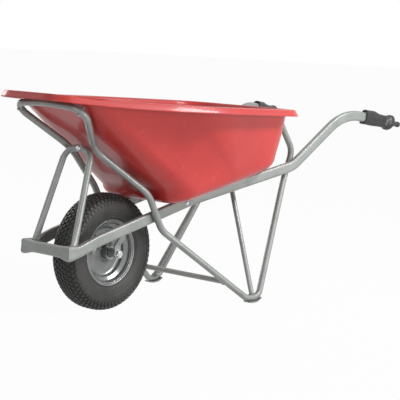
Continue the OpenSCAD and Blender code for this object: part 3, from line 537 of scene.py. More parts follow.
def makeMainTube(s):
    side = refined(bentLine(railPath, s["bends"], s["bendSteps"]), s["step"])
    corner = railPath[-1]
    mitre = (corner, Vector((1, -1, 0)).normalized())
    barEnd = corner.y - s["barInset"]
    bar = [(Vector((corner.x, y, corner.z)), Vector((0, -1, 0))) for y in (barEnd, -barEnd)]
    far = [(flip(p), -flip(d)) for p, d in reversed(side[:-1])]
    farMitre = (flip(corner), Vector((-1, -1, 0)).normalized())
    stations = side[:-1] + [mitre] + refined(bar, s["step"]) + [farMitre] + far
    corners = [corner, flip(corner)]
    outline = boxSection(s["width"], s["height"], s["corner"])

    def section(i, reach):
        away = min((stations[i][0] - c).length for c in corners)
        crush = exp(-(away / s["crushReach"]) ** 2)
        wide = sqrt(2) if away < 1e-6 else 1  # a mitre is cut at 45 degrees
        return [(wide * (x - copysign(s["pinch"] * crush, x) * (1 - abs(y) / s["height"])),
                 y + (s["crushUp"] * max(0, y) - s["crush"] * max(0, -y)) * crush / (s["height"] / 2))
                for x, y in outline]

    points, faces = sweepSection(stations, section, (0, 0, 1))
    tube = makePiece("main_tube", points, faces, silverPaint)
    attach(tube, "frame")
    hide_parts("left_rail", "right_rail", "front_bar")


makeMainTube(tubeSettings)
print("main tube bent")


# ---- hand grips: a rolled mouth with two lips, a fluted body, an end bulge and a hanging knob

gripSettings = {
    "start": 110, "width": 34, "height": 50, "corner": 12, "lipRoll": 0.6, "guard": 6.4, "guardLow": 1.6,
    "topLip": 1, "bottomLip": 9, "flutes": 6, "fluteDepth": 1.5, "flutedShare": 0.36,
    "bulgeWide": 48, "bulgeHigh": 61, "bulgeTilt": 9, "bulgeAt": 136, "bulgeReach": 24, "narrowing": 0.7,
    "knob": 22,
}


# Along the grip: place, growth, share of roundness (2 for the knob), how much smaller than the
# bulge or the knob's radius, share of lip, of guard and of fluting
def gripStations(s):
    roll, knob = s["lipRoll"], s["knob"] / 2
    mouth = [(5.0, -3.4, 0, 0, 1, 0, 0), (1.2, -2.6, 0, 0, 1, 0.2, 0), (-0.6, -1.2, 0, 0, 1, 0.5, 0),
             (0.2, roll, 0, 0, 1, 0.65, 0), (3, roll, 0, 0, 1, 0.75, 0), (7, 0.5, 0, 0, 0.9, 0.72, 0.1)]
    guard = [(12, 0.5, 0, 0, 0.75, 0.72, 0.4), (19, 0.5, 0, 0, 0.5, 0.76, 0.8),
             (27, 0.5, 0, 0, 0.25, 0.84, 1), (36, 0.5, 0, 0, 0.1, 0.95, 1), (44, 0.4, 0, 0, 0, 1, 1),
             (50, 0.3, 0, 0, 0, 0.95, 1), (57, 0.1, 0, 0, 0, 0.7, 1), (64, 0, 0, 0, 0, 0.35, 1),
             (72, -0.2, 0, 0, 0, 0.08, 1)]
    body = [(t, -0.2 - (t - 72) * 0.03, 0, 0, 0, 0, 1) for t in (80, 88, 96, 104)]
    body += [(110, -1.2, 0, 0, 0, 0, 0.8), (114, -0.8, 0.05, 7, 0, 0, 0.4), (118, 0, 0.2, 5, 0, 0, 0.1)]
    bulge = [(t, 0, share, size, 0, 0, 0) for t, share, size in
             ((121, 0.45, 3.4), (124, 0.75, 2), (127, 1, 1), (131, 1, 0.2), (135, 1, 0), (141, 1, 0),
              (146, 1, 0.8), (150, 1, 3), (153, 1, 6.5), (155.5, 1, 10), (157.5, 1, 13))]
    end = [(t, 0, 2, knob + more, 0, 0, 0) for t, more in
           ((160, 2.6), (166, 1.2), (174, -0.4), (182, -1.2), (187, 0), (194, 0), (197, -1), (199.2, -3.6),
            (199.9, -7.5))]
    return mouth + guard + body + bulge + end


def makeGrip(s, name, side):
    outline = boxSection(s["width"], s["height"], s["corner"], 8, 10)
    stations = gripStations(s)
    across = gripUpright.cross(gripWay)
    root = gripRoot + gripWay * s["start"]
    halfSide = s["height"] * s["flutedShare"]
    points = []
    for t, grow, circle, size, lip, guard, flute in stations:
        for x, y in outline:
            a = atan2(y, x)
            top, low = max(0, sin(a)) ** 3, max(0, -sin(a)) ** 3
            normal = Vector((x / (s["width"] / 2), y / (s["height"] / 2))).normalized()
            wave = cos(2 * pi * (y / halfSide + 1) * s["flutes"] / 2)
            groove = flute * s["fluteDepth"] * (0.5 - 0.5 * wave) if abs(y) < halfSide else 0
            raised = grow + guard * (s["guard"] * top + s["guardLow"] * low)
            px, py = x + normal.x * grow - copysign(groove, x), y + normal.y * raised
            wide, high = s["bulgeWide"] / 2 - size * s["narrowing"], s["bulgeHigh"] / 2 - size
            if circle > 1:
                wide = high = size
            share = min(1, circle)
            px, py = px * (1 - share) + wide * cos(a) * share, py * (1 - share) + high * sin(a) * share
            tilted = s["bulgeTilt"] * sin(a) * max(0, 1 - ((t - s["bulgeAt"]) / s["bulgeReach"]) ** 2)
            reach = t - lip * (s["topLip"] * top + s["bottomLip"] * low) + tilted
            point = root + across * px + gripUpright * py + gripWay * reach
            points.append(toFrame(point if side > 0 else flip(point)))
    grip = makePiece(name, points, ringFaces(len(stations), len(outline)), gripBlack, 50)
    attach(grip, "frame")
    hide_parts("left_grip" if side > 0 else "right_grip")


makeGrip(gripSettings, "hand_grip_left", 1)
makeGrip(gripSettings, "hand_grip_right", -1)
print("grips moulded")


# ---- tray: a thin moulded shell with crowned walls, a rolled rim and a turned-down lip

traySettings = {
    "front": 369, "rear": 747, "width": 720.6, "frontWidth": 278, "rearWidth": 592, "widestX": -150,
    "lipRise": 492, "lipHeight": 23, "overFront": 74, "overSide": 52.5, "overRear": 22,
    "wallFrontWidth": 330, "wallRearWidth": 499, "thick": 4.5,
    "floorFront": 145, "floorRear": 686, "floorFrontWidth": 410, "floorRearWidth": 490, "fillet": 58,
    "slope": 0.04, "sweep": 1e-4, "strapHeight": 10, "crown": 2.6, "wallBehind": 50, "floorSwell": 6,
    "filletRise": 0.8, "wallInset": 1.15,
    "rimRadii": [91, 91, 600, 145, 145, 600], "wallRadii": [113, 113, 600, 119, 119, 600],
    "floorRadii": [100, 100, 600, 100, 100, 600], "arcSteps": [14, 14, 10, 14, 14, 10],
    "edgeSteps": [10, 14, 14, 14, 14, 14], "wallSteps": 14, "edgeRoll": 5, "lipLean": 9, "innerRoll": 11,
}


def sixCorners(xf, yf, xm, ym, xr, yr):
    return [Vector(p) for p in ((xf, -yf), (xf, yf), (xm, ym), (xr, yr), (xr, -yr), (xm, -ym))]


# A rounded six-sided outline, moved inwards by a distance, with the same number of points each time
def roundedOutline(corners, radii, inward, s):
    moved = []
    for i, p in enumerate(corners):
        a, b, half = cornerAt(corners, i)
        moved.append(p + (a + b).normalized() * inward / sin(half))
    arcs = []
    for i, p in enumerate(moved):
        a, b, half = cornerAt(moved, i)
        r = radii[i] - inward
        centre = p + (a + b).normalized() * r / sin(half)
        arm = p + a * r / tan(half) - centre
        turn, steps = pi - 2 * half, s["arcSteps"][i]
        arcs.append([centre + Matrix.Rotation(turn * k / steps, 2) @ arm for k in range(steps + 1)])
    return joinedArcs(arcs, s["edgeSteps"])


def makeTray(s):
    front, rear = s["front"], -s["rear"]
    rim = sixCorners(front, s["frontWidth"] / 2, s["widestX"], s["width"] / 2, rear, s["rearWidth"] / 2)
    wall = sixCorners(front - s["overFront"], s["wallFrontWidth"] / 2, s["widestX"] - s["wallBehind"],
                      s["width"] / 2 - s["overSide"], rear + s["overRear"], s["wallRearWidth"] / 2)
    floorMidX = -(s["floorFront"] + s["floorRear"]) / 2
    floorMidY = (s["floorFrontWidth"] + s["floorRearWidth"]) / 4 + s["floorSwell"]
    base = sixCorners(-s["floorFront"], s["floorFrontWidth"] / 2, floorMidX, floorMidY,
                      -s["floorRear"], s["floorRearWidth"] / 2)
    tilt = railWays()[0]
    floorAbove = (tubeSettings["height"] / 2 + s["strapHeight"]) / cos(tilt)
    thick, lip, fillet, rise = s["thick"], s["lipHeight"], s["fillet"], s["filletRise"]

    def lipZ(x):
        return axleHeight + s["lipRise"] + s["slope"] * x + s["sweep"] * max(0, x) ** 2

    def floorZ(x):
        return axleHeight + tubeSettings["rise"] - x * tan(tilt) + floorAbove

    def ring(corners, radii, height, inward, up):
        outline = roundedOutline(corners, s[radii], inward, s)
        return [Vector((p.x, p.y, height(p.x) + up)) for p in outline]

    def rimRing(inward, up):
        return ring(rim, "rimRadii", lipZ, inward, up)

    def wallRing(inward, up):
        return ring(wall, "wallRadii", lipZ, inward, up)

    def floorRing(inward, up):
        return ring(base, "floorRadii", floorZ, inward, up)

    # A wall between two rings, bowed a little outwards between them
    def wallStep(low, high, t):
        out = []
        for k, (p, q) in enumerate(zip(low, high)):
            along = (low[(k + 1) % len(low)] - low[k - 1]).normalized()
            outward = along.cross((q - p).normalized())
            out.append(p.lerp(q, t) + outward * s["crown"] * sin(pi * t) ** 1.5)
        return out

    inset = s["wallInset"] * thick
    low, high = floorRing(0, rise * fillet), wallRing(0, lip - thick)
    lowIn, highIn = floorRing(thick, rise * fillet + 0.4 * thick), wallRing(inset, lip - thick)
    roll, inner, lean = s["edgeRoll"], s["innerRoll"], s["lipLean"]
    turn = [radians(a) for a in range(0, 91, 15)]
    # The lip's steps: how far inwards of the rim's outline and how high
    lipSteps = [(thick + lean + 4, lip - thick), (thick + lean + 1, lip - thick - 1.2),
                (thick + lean, lip - thick - 4), (thick + 0.8, 5), (thick, 1.4), (0.7 * thick, 0.3),
                (0.3 * thick, 0.3), (0, 1.6), (0.1, 3.4), (0.8, 5.2)]
    lipSteps += [(lean + roll * (1 - cos(a)), lip - roll * (1 - sin(a))) for a in turn]
    # From the middle of the underside out to the lip, round its edge and down the inside
    rings = [floorRing(fillet * (1 - sin(a)), rise * fillet * (1 - cos(a))) for a in turn[:-1]]
    rings += [wallStep(low, high, t / s["wallSteps"]) for t in range(s["wallSteps"])]
    rings += [wallStep(low, high, 0.965), wallRing(-1.6, lip - thick - 1.6), wallRing(-6.5, lip - thick)]
    rings += [rimRing(inward, up) for inward, up in lipSteps]
    rings += [wallRing(inset - inner * (1 - sin(a)), lip - inner * (1 - cos(a))) for a in turn[:-1]]
    rings += [wallStep(lowIn, highIn, t / s["wallSteps"]) for t in reversed(range(s["wallSteps"]))]
    rings += [floorRing(thick + fillet * (1 - sin(a)), thick / cos(tilt) + rise * fillet * (1 - cos(a)))
              for a in reversed(turn[:-1])]
    points = [toFrame(p) for r in rings for p in r]
    tray = makePiece("tray_moulding", points, ringFaces(len(rings), len(rings[0])), redTray, 60)
    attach(tray, "frame")
    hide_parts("tray")


makeTray(traySettings)
print("tray moulded")


# ---- tyre: a turned carcass with staggered tread blocks set round it by Geometry Nodes

tyreSettings = {
    "diameter": 400, "width": 100, "rimDiameter": 228, "rimWidth": 84, "beadDiameter": 203,
    "rimSheet": 2, "blockHeight": 3.6, "rowsAcross": 10, "blocksRound": 66,
    "blockLength": 13.2, "blockWidth": 9.2, "blockCorner": 1.2, "shoulderStretch": 1.3,
}


def tyreProfile(s, sunk):
    r, w, f = s["diameter"] / 2, s["width"] / 2, s["rimDiameter"] / 2
    flange = s["rimWidth"] / 2 - s["rimSheet"]
    bead = s["beadDiameter"] / 2 + 0.15
    outer = [(r - sunk, 0, 0), (r - 1 - sunk, w - 30, 20), (r - 4 - sunk, w - 19, 12),
             (r - 9 - sunk * 0.9, w - 11 - sunk * 0.3, 10), (r - 16 - sunk * 0.7, w - 5 - sunk * 0.5, 10),
             (r - 26, w - 1.8, 3), (r - 27, w - 0.9, 2), (r - 42, w, 18), (r - 47, w - 0.1, 1),
             (r - 48, w, 1), (r - 51, w - 0.1, 1), (r - 52, w - 0.9, 1), (r - 60, w - 1.4, 8),
             (f + 10, w - 4.5, 8), (f + 6.5, w - 6.6, 1.5), (f + 5, flange + 3.4, 1.5),
             (f + 3, flange + 2.6, 2), (f + 0.5, flange - 0.15, 1)]
    inner = [(bead, flange - 0.15, 2), (bead, flange - 9, 3), (bead + 9, flange - 7, 6),
             (bead + 24, w - 10, 10), (r - 58, w - 6, 12), (r - 38, w - 6, 10), (r - 23, w - 15, 8),
             (r - 15, w - 28, 8), (r - 13, 0, 0)]
    return softened(outer, 4) + softened(inner, 3)


# The line over the tread that the blocks' tops follow
def treadLine(s):
    r, w = s["diameter"] / 2, s["width"] / 2
    half = [(r, 0), (r - 1, w - 30), (r - 4, w - 19), (r - 9, w - 11), (r - 16, w - 5.6), (r - 24, w - 2.6)]
    return [(a, -b) for a, b in reversed(half[1:])] + half


# One tread block: a low truncated wedge with softened edges, its foot at the origin. Each ring has
# a height and a distance its sides are drawn in
def blockMesh(s):
    points, faces = [], []
    c, height = s["blockCorner"], s["blockHeight"]
    for z, drawnIn in ((-1.5, 0), (height - 1.0, 0.55), (height - 0.25, 1.0), (height, 1.9)):
        l, w = s["blockLength"] / 2 - drawnIn, s["blockWidth"] / 2 - drawnIn
        points += [Vector(p) * mm for p in ((l - c, -w, z), (l, c - w, z), (l, w - c, z), (l - c, w, z),
                                            (c - l, w, z), (-l, w - c, z), (-l, c - w, z), (c - l, -w, z))]
    for i in range(3):
        faces += [(i * 8 + k, i * 8 + (k + 1) % 8, i * 8 + 8 + (k + 1) % 8, i * 8 + 8 + k) for k in range(8)]
    faces.append(tuple(range(24, 32)))
    mesh = bpy.data.meshes.new("treadBlock")
    mesh.from_pydata(points, [], faces)
    return mesh
    mesh = bpy.data.meshes.new(name)
    mesh.from_pydata(points, [], faces)
    return mesh


# Starts a tree whose inputs are {label: (kind, value)} and returns it, its inputs and their identifiers
def newTree(name, inputs):
    tree = bpy.data.node_groups.new(name, "GeometryNodeTree")
    face = tree.interface
    face.new_socket("Geometry", in_out="INPUT", socket_type="NodeSocketGeometry")
    sockets = {}
    for label, (kind, value) in inputs.items():
        socket = face.new_socket(label, in_out="INPUT", socket_type="NodeSocket" + kind)
        if value is not None:
            socket.default_value = value
        sockets[label] = socket.identifier
    face.new_socket("Geometry", in_out="OUTPUT", socket_type="NodeSocketGeometry")
    return tree, addNode(tree, "NodeGroupInput").outputs, sockets


def endTree(tree, geometry, finish):
    real = addNode(tree, "GeometryNodeRealizeInstances", {"Geometry": geometry})
    dressed = addNode(tree, "GeometryNodeSetMaterial", {"Geometry": real, "Material": finish})
    addNode(tree, "NodeGroupOutput", {"Geometry": dressed})


def runTree(piece, tree, names, values):
    modifier = piece.modifiers.new(tree.name, "NODES")
    modifier.node_group = tree
    for label, value in values.items():
        modifier[names[label]] = value
    settle(piece)


# Tread: blocks stand on the tread line's points, every other one is moved half a pitch, and the
# row is then set round the axle
def treadTree():
    tree, given, names = newTree("treadBlocks", {
        "Tread Line": ("Object", None), "Block": ("Object", None), "Rows Across": ("Int", 9),
        "Blocks Round": ("Int", 60), "Shoulder Stretch": ("Float", 1.25), "Axle Place": ("Vector", None),
        "Rubber": ("Material", None)})
    line = addNode(tree, "GeometryNodeObjectInfo", {"Object": given["Tread Line"]})
    block = addNode(tree, "GeometryNodeObjectInfo", {"Object": given["Block"]})
    curve = addNode(tree, "GeometryNodeMeshToCurve", {"Mesh": line.outputs["Geometry"]})
    points = addNode(tree, "GeometryNodeCurveToPoints",
                     {"Curve": curve, "Count": given["Rows Across"]}, mode="COUNT")
    facing = addNode(tree, "FunctionNodeAlignRotationToVector",
                     {"Vector": points.outputs["Tangent"]}, axis="Y", pivot_axis="X")
    index = addNode(tree, "GeometryNodeInputIndex")
    place = addNode(tree, "GeometryNodeInputPosition")
    across = addNode(tree, "ShaderNodeSeparateXYZ", {0: place}).outputs["Y"]
    away = addNode(tree, "ShaderNodeMath", {0: across}, operation="ABSOLUTE")
    stretch = addNode(tree, "ShaderNodeMapRange",
                      {"Value": away, "From Min": 0.012, "From Max": 0.045, "To Min": 0.92,
                       "To Max": given["Shoulder Stretch"]})
    size = addNode(tree, "ShaderNodeCombineXYZ", {"X": 1.0, "Y": stretch, "Z": 1.0})
    row = addNode(tree, "GeometryNodeInstanceOnPoints",
                  {"Points": points, "Instance": block.outputs["Geometry"], "Rotation": facing,
                   "Scale": size})
    odd = addNode(tree, "ShaderNodeMath", {0: index, 1: 2.0}, operation="MODULO")
    pitch = addNode(tree, "ShaderNodeMath", {0: 2 * pi, 1: given["Blocks Round"]}, operation="DIVIDE")
    half = addNode(tree, "ShaderNodeMath", {0: pitch, 1: 0.5}, operation="MULTIPLY")
    moved = addNode(tree, "ShaderNodeMath", {0: odd, 1: half}, operation="MULTIPLY")
    stagger = addNode(tree, "ShaderNodeCombineXYZ", {"Y": moved})
    turned = addNode(tree, "GeometryNodeRotateInstances",
                     {"Local Space": False, "Instances": row, "Rotation": stagger})
    hub = addNode(tree, "GeometryNodePoints", {"Count": given["Blocks Round"]})
    angle = addNode(tree, "ShaderNodeMath", {0: index, 1: pitch}, operation="MULTIPLY")
    aboutAxle = addNode(tree, "ShaderNodeCombineXYZ", {"Y": angle})
    ring = addNode(tree, "GeometryNodeInstanceOnPoints",
                   {"Points": hub, "Instance": turned, "Rotation": aboutAxle})
    whole = addNode(tree, "GeometryNodeJoinGeometry")
    tree.links.new(ring.outputs[0], whole.inputs[0])
    tree.links.new(given["Geometry"], whole.inputs[0])
    placed = addNode(tree, "GeometryNodeTransform", {"Geometry": whole, "Translation": given["Axle Place"]})
    endTree(tree, placed, given["Rubber"])
    return tree, names


def makeTyre(s):
    points, faces = turnedPiece(mirrored(tyreProfile(s, s["blockHeight"])))
    tyre = makePiece("tyre_with_tread", points, faces, None, 40)
    lineMesh = bpy.data.meshes.new("treadLine")
    line = [Vector((0, y, r - s["blockHeight"])) * mm for r, y in treadLine(s)]
    lineMesh.from_pydata(line, [(k, k + 1) for k in range(len(line) - 1)], [])
    guide = addObject("treadLine", lineMesh)
    block = addObject("treadBlock", blockMesh(s))
    tree, names = treadTree()
    runTree(tyre, tree, names, {"Tread Line": guide, "Block": block, "Rows Across": s["rowsAcross"],
                                "Blocks Round": s["blocksRound"], "Shoulder Stretch": s["shoulderStretch"],
                                "Axle Place": axlePoint, "Rubber": tyreBlack})
    for helper in (guide, block):
        bpy.data.objects.remove(helper)
    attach(tyre, "wheel")
    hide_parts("tyre")


makeTyre(tyreSettings)
print("tyre treaded")


# ---- rim: two pressed dishes with rolled flanges, a stepped dish and a cone round the hub

rimSettings = {
    "flange": 114, "halfWidth": 42, "sheet": 2, "bead": 101.5, "well": 86, "wellHalf": 15, "hub": 25.15,
}


def rimProfile(s):
    t, w, b, well, hub = s["sheet"], s["halfWidth"], s["bead"], s["well"], s["hub"]
    slope = s["wellHalf"] + 9
    f = s["flange"]
    outside = [(f, w - t - 1, 1), (f, w, 1.4), (f - 5, w, 3), (f - 9, w - 5, 5), (b - t + 0.5, w - 8, 6),
               (b - t, slope + t / 2, 6), (well - t, s["wellHalf"] + t / 2, 7), (well - t, t + 5, 5),
               (well - 9, t, 5), (hub + 24, t, 8), (hub + 12, t + 3, 6), (hub + t, 15, 5), (hub + t, 18, 1)]
    inside = [(hub, 18, 0), (hub, 12, 4), (hub + 15, 0, 3), (well, 0, 2), (well, s["wellHalf"], 5),
              (b, slope, 4), (b, w - t - 2, 2), (b + 2, w - t, 2)]
    return softened(outside + inside, 3)


def makeRim(s, name, side):
    points, faces = turnedPiece([(r, y * side) for r, y in rimProfile(s)])
    points = [p + axlePoint for p in points]
    rim = makePiece(name, points, faces, rimPaint, 40)
    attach(rim, "wheel")
    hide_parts("rim_left_half" if side > 0 else "rim_right_half")


makeRim(rimSettings, "rim_dish_left", 1)
makeRim(rimSettings, "rim_dish_right", -1)
print("rim pressed")


# ---- front brace: an inverted U, its feet pressed flat against the rails and its crown under the bolt

braceSettings = {
    "footX": 221, "footY": 92, "rise": 354, "lean": 17.8, "taper": 5.8, "diameter": 22, "bend": 46, "step": 7,
    "sunk": 7, "footWide": 29, "footThin": 15, "footReach": 95, "crownPressed": 6, "crownReach": 17,
    "crownSpread": 0.14,
}


def braceLine(s):
    railTop = axleHeight + tubeSettings["frontRise"] + tubeSettings["height"] / 2
    foot = Vector((s["footX"], s["footY"], railTop))
    lean, taper = radians(s["lean"]), radians(s["taper"])
    side = (axleHeight + s["rise"] - railTop) / cos(lean)
    crown = foot + Vector((-side * sin(lean), -side * tan(taper), side * cos(lean)))
    return foot + (foot - crown) * s["sunk"] / side, crown


braceRoot, braceCrown = braceLine(braceSettings)
braceLean = radians(braceSettings["lean"])
braceFront = Vector((cos(braceLean), 0, sin(braceLean)))


def makeBrace(s):
    path = [braceRoot, braceCrown, flip(braceCrown), flip(braceRoot)]
    stations = refined(bentLine(path, [0, s["bend"], s["bend"], 0], 12), s["step"])
    reach = reachAlong(stations)
    r = s["diameter"] / 2

    def section(i, along):
        toFoot = min(along, reach[-1] - along)
        flat = max(0, 1 - toFoot / s["footReach"]) ** 1.6
        pressed = exp(-((along - reach[-1] / 2) / s["crownReach"]) ** 4)
        thin, wide = r + (s["footThin"] / 2 - r) * flat, r + (s["footWide"] / 2 - r) * flat
        ring = []
        for x, y in roundSection(1, 32):
            px, py = thin * x, wide * y
            if py > 0:
                px *= 1 + s["crownSpread"] * pressed
                if pressed > 0.02:
                    py = min(py, r - s["crownPressed"] * pressed)
            ring.append((px, py))
        return ring

    points, faces = sweepSection(stations, section, (1, 0, 0))
    brace = makePiece("front_brace_tube", points, faces, silverPaint, 40)
    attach(brace, "frame")
    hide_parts("front_brace")


makeBrace(braceSettings)
print("brace bent")


# ---- screws and bolts: zinc-plated hex flange heads set by Geometry Nodes

boltSettings = {
    "across": 13.5, "head": 5.2, "flange": 17.5, "flangeThick": 1.5, "shank": 8, "turns": 24, "washer": 1.6,
    "frontStrap": 298, "rearStrap": 626, "strapGap": 0.2, "trayBoltY": 70,
    "braceLong": 24, "strapLong": 35, "trayLong": 17.5,
}


# A hex head with a chamfered top over a round flange, foot at the origin. Each ring has a height,
# a round radius and a share of hexagon
def boltHeadMesh(s):
    half, flange, thick, top = s["across"] / 2, s["flange"] / 2, s["flangeThick"], s["head"]
    rings = []
    for z, r, hexShare in ((-0.6, 6, 0), (-0.3, flange, 0), (0.5, flange, 0), (thick, half * 1.12, 0.2),
                           (thick + 0.3, 0, 1), (top - 0.9, 0, 1), (top, half - 0.9, 0.25), (top, 3.2, 0),
                           (top - 0.5, 2.6, 0)):
        ring = []
        for k in range(s["turns"]):
            a = 2 * pi * k / s["turns"]
            flat = half / cos(a % (pi / 3) - pi / 6)
            radius = flat * hexShare + r * (1 - hexShare)
            ring.append(Vector((radius * cos(a), radius * sin(a), z)) * mm)
        rings.append(ring)
    return ringsMesh("boltHead", rings)


# A shank one metre long, to be scaled: thread crests run round its last part. Each ring has a share
# of the length and a depth of cut
def shankMesh(s):
    rings = []
    for z, cutIn in ((0, 0), (0.35, 0), (0.36, 0.3), (0.45, 0), (0.54, 0.35), (0.63, 0), (0.72, 0.35),
                     (0.81, 0), (0.9, 0.35), (0.97, 0.1), (1, 0.8)):
        rings.append([Vector((x * mm, y * mm, -z)) for x, y in roundSection(s["shank"] / 2 - cutIn, 16)])
    return ringsMesh("boltShank", rings)


def ringsMesh(name, rings):
    mesh = bpy.data.meshes.new(name)
    mesh.from_pydata([p for ring in rings for p in ring], [], ringFaces(len(rings), len(rings[0])))
    tidyMesh(mesh)
    return mesh


# Points that carry which way a copy faces and how large it is
def guidePoints(name, rows):
    mesh = bpy.data.meshes.new(name)
    mesh.from_pydata([toFrame(place) for place, _, _ in rows], [], [])
    facing = mesh.attributes.new("facing", "FLOAT_VECTOR", "POINT")
    size = mesh.attributes.new("size", "FLOAT_VECTOR", "POINT")
    for i, (_, way, scale) in enumerate(rows):
        facing.data[i].vector = way
        size.data[i].vector = scale
    return addObject(name, mesh)


def fastenerTree():
    tree, given, names = newTree("hexBolts", {"Head": ("Object", None), "Shank": ("Object", None),
                                              "Plating": ("Material", None)})
    whole = addNode(tree, "GeometryNodeJoinGeometry")
    facing = addNode(tree, "GeometryNodeInputNamedAttribute", {"Name": "facing"}, data_type="FLOAT_VECTOR")
    size = addNode(tree, "GeometryNodeInputNamedAttribute", {"Name": "size"}, data_type="FLOAT_VECTOR")
    turn = addNode(tree, "FunctionNodeAlignRotationToVector", {"Vector": facing}, axis="Z")
    part = addNode(tree, "ShaderNodeSeparateXYZ", {0: size}).outputs
    for label, tall in (("Head", part["X"]), ("Shank", part["Y"])):
        scale = addNode(tree, "ShaderNodeCombineXYZ", {"X": part["X"], "Y": part["X"], "Z": tall})
        shape = addNode(tree, "GeometryNodeObjectInfo", {"Object": given[label]})
        copies = addNode(tree, "GeometryNodeInstanceOnPoints",
                         {"Points": given["Geometry"], "Instance": shape.outputs["Geometry"],
                          "Rotation": turn, "Scale": scale})
        tree.links.new(copies.outputs[0], whole.inputs[0])
    endTree(tree, whole, given["Plating"])
    return tree, names


def makeBolts(s):
    tube, tray = tubeSettings, traySettings
    up, back = railWays()[1:]
    middle = Vector((0, 0, axleHeight + tube["rise"]))
    outer = tube["gap"] / 2 + tube["width"] / 2
    top = tube["height"] / 2 + tray["strapHeight"] + tray["thick"] + s["washer"]
    crown = Vector((braceCrown.x, 0, braceCrown.z))
    crown += braceFront * (braceSettings["diameter"] / 2 - braceSettings["crownPressed"])
    # Each bolt: its head's foot, the way it faces, its size and its shank's length
    rows = [(crown, braceFront, (1, s["braceLong"] * mm, 0))]
    for side in (Vector((0, 1, 0)), Vector((0, -1, 0))):
        place = middle + back * s["frontStrap"] + side * (outer + s["strapGap"])
        rows.append((place, side, (1, s["strapLong"] * mm, 0)))
        for along in (s["frontStrap"], s["rearStrap"]):
            place = middle + back * along + up * top + side * s["trayBoltY"]
            rows.append((place, up, (1, s["trayLong"] * mm, 0)))
    guide = guidePoints("hex_bolts", rows)
    head, shank = addObject("boltHead", boltHeadMesh(s)), addObject("boltShank", shankMesh(s))
    tree, names = fastenerTree()
    runTree(guide, tree, names, {"Head": head, "Shank": shank, "Plating": zinc})
    for helper in (head, shank):
        bpy.data.objects.remove(helper)
    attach(guide, "frame")
    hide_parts("strap_bolts", "tray_bolts", "brace_bolt")


makeBolts(boltSettings)
print("bolts set")


# ---- weld beads: overlapping ripples along each joint, set by Geometry Nodes and painted over

weldSettings = {
    "pitch": 2.4, "wide": 5.6, "tall": 2.6, "long": 4.4, "uneven": 0.12, "seed": 7,
    "beside": 6.5, "proud": 1.2, "shortOfEdge": 4, "legHalf": 14, "tieSunk": 1.5, "stayProud": 1,
    "braceProud": 1, "braceLift": 0.5, "bracketHalf": 14.5, "bracketLow": -16, "bracketHigh": 8,
    "bracketSunk": 0.8,
}
# Where the legs' tubes run, for the beads along them
legSettings = {
    "crossX": 81, "crossRise": 204, "frontX": 153, "frontRise": 74.5, "footFront": 494, "footRear": 552,
    "footY": 238.5, "footSplay": 8, "topRise": 228, "topX": 772, "plate": 5, "tube": 23, "stay": 18,
    "tie": 19, "tieX": 410, "stayAlong": 626, "stayHalf": 36, "rearX": 801, "rearRise": 330, "gap": 0.15,
}


def ringPath(centre, normal, first, radii, turns=20):
    x = (first - normal * first.dot(normal)).normalized()
    y = normal.cross(x)
    return [centre + x * radii[0] * cos(2 * pi * k / turns) + y * radii[1] * sin(2 * pi * k / turns)
            for k in range(turns + 1)]


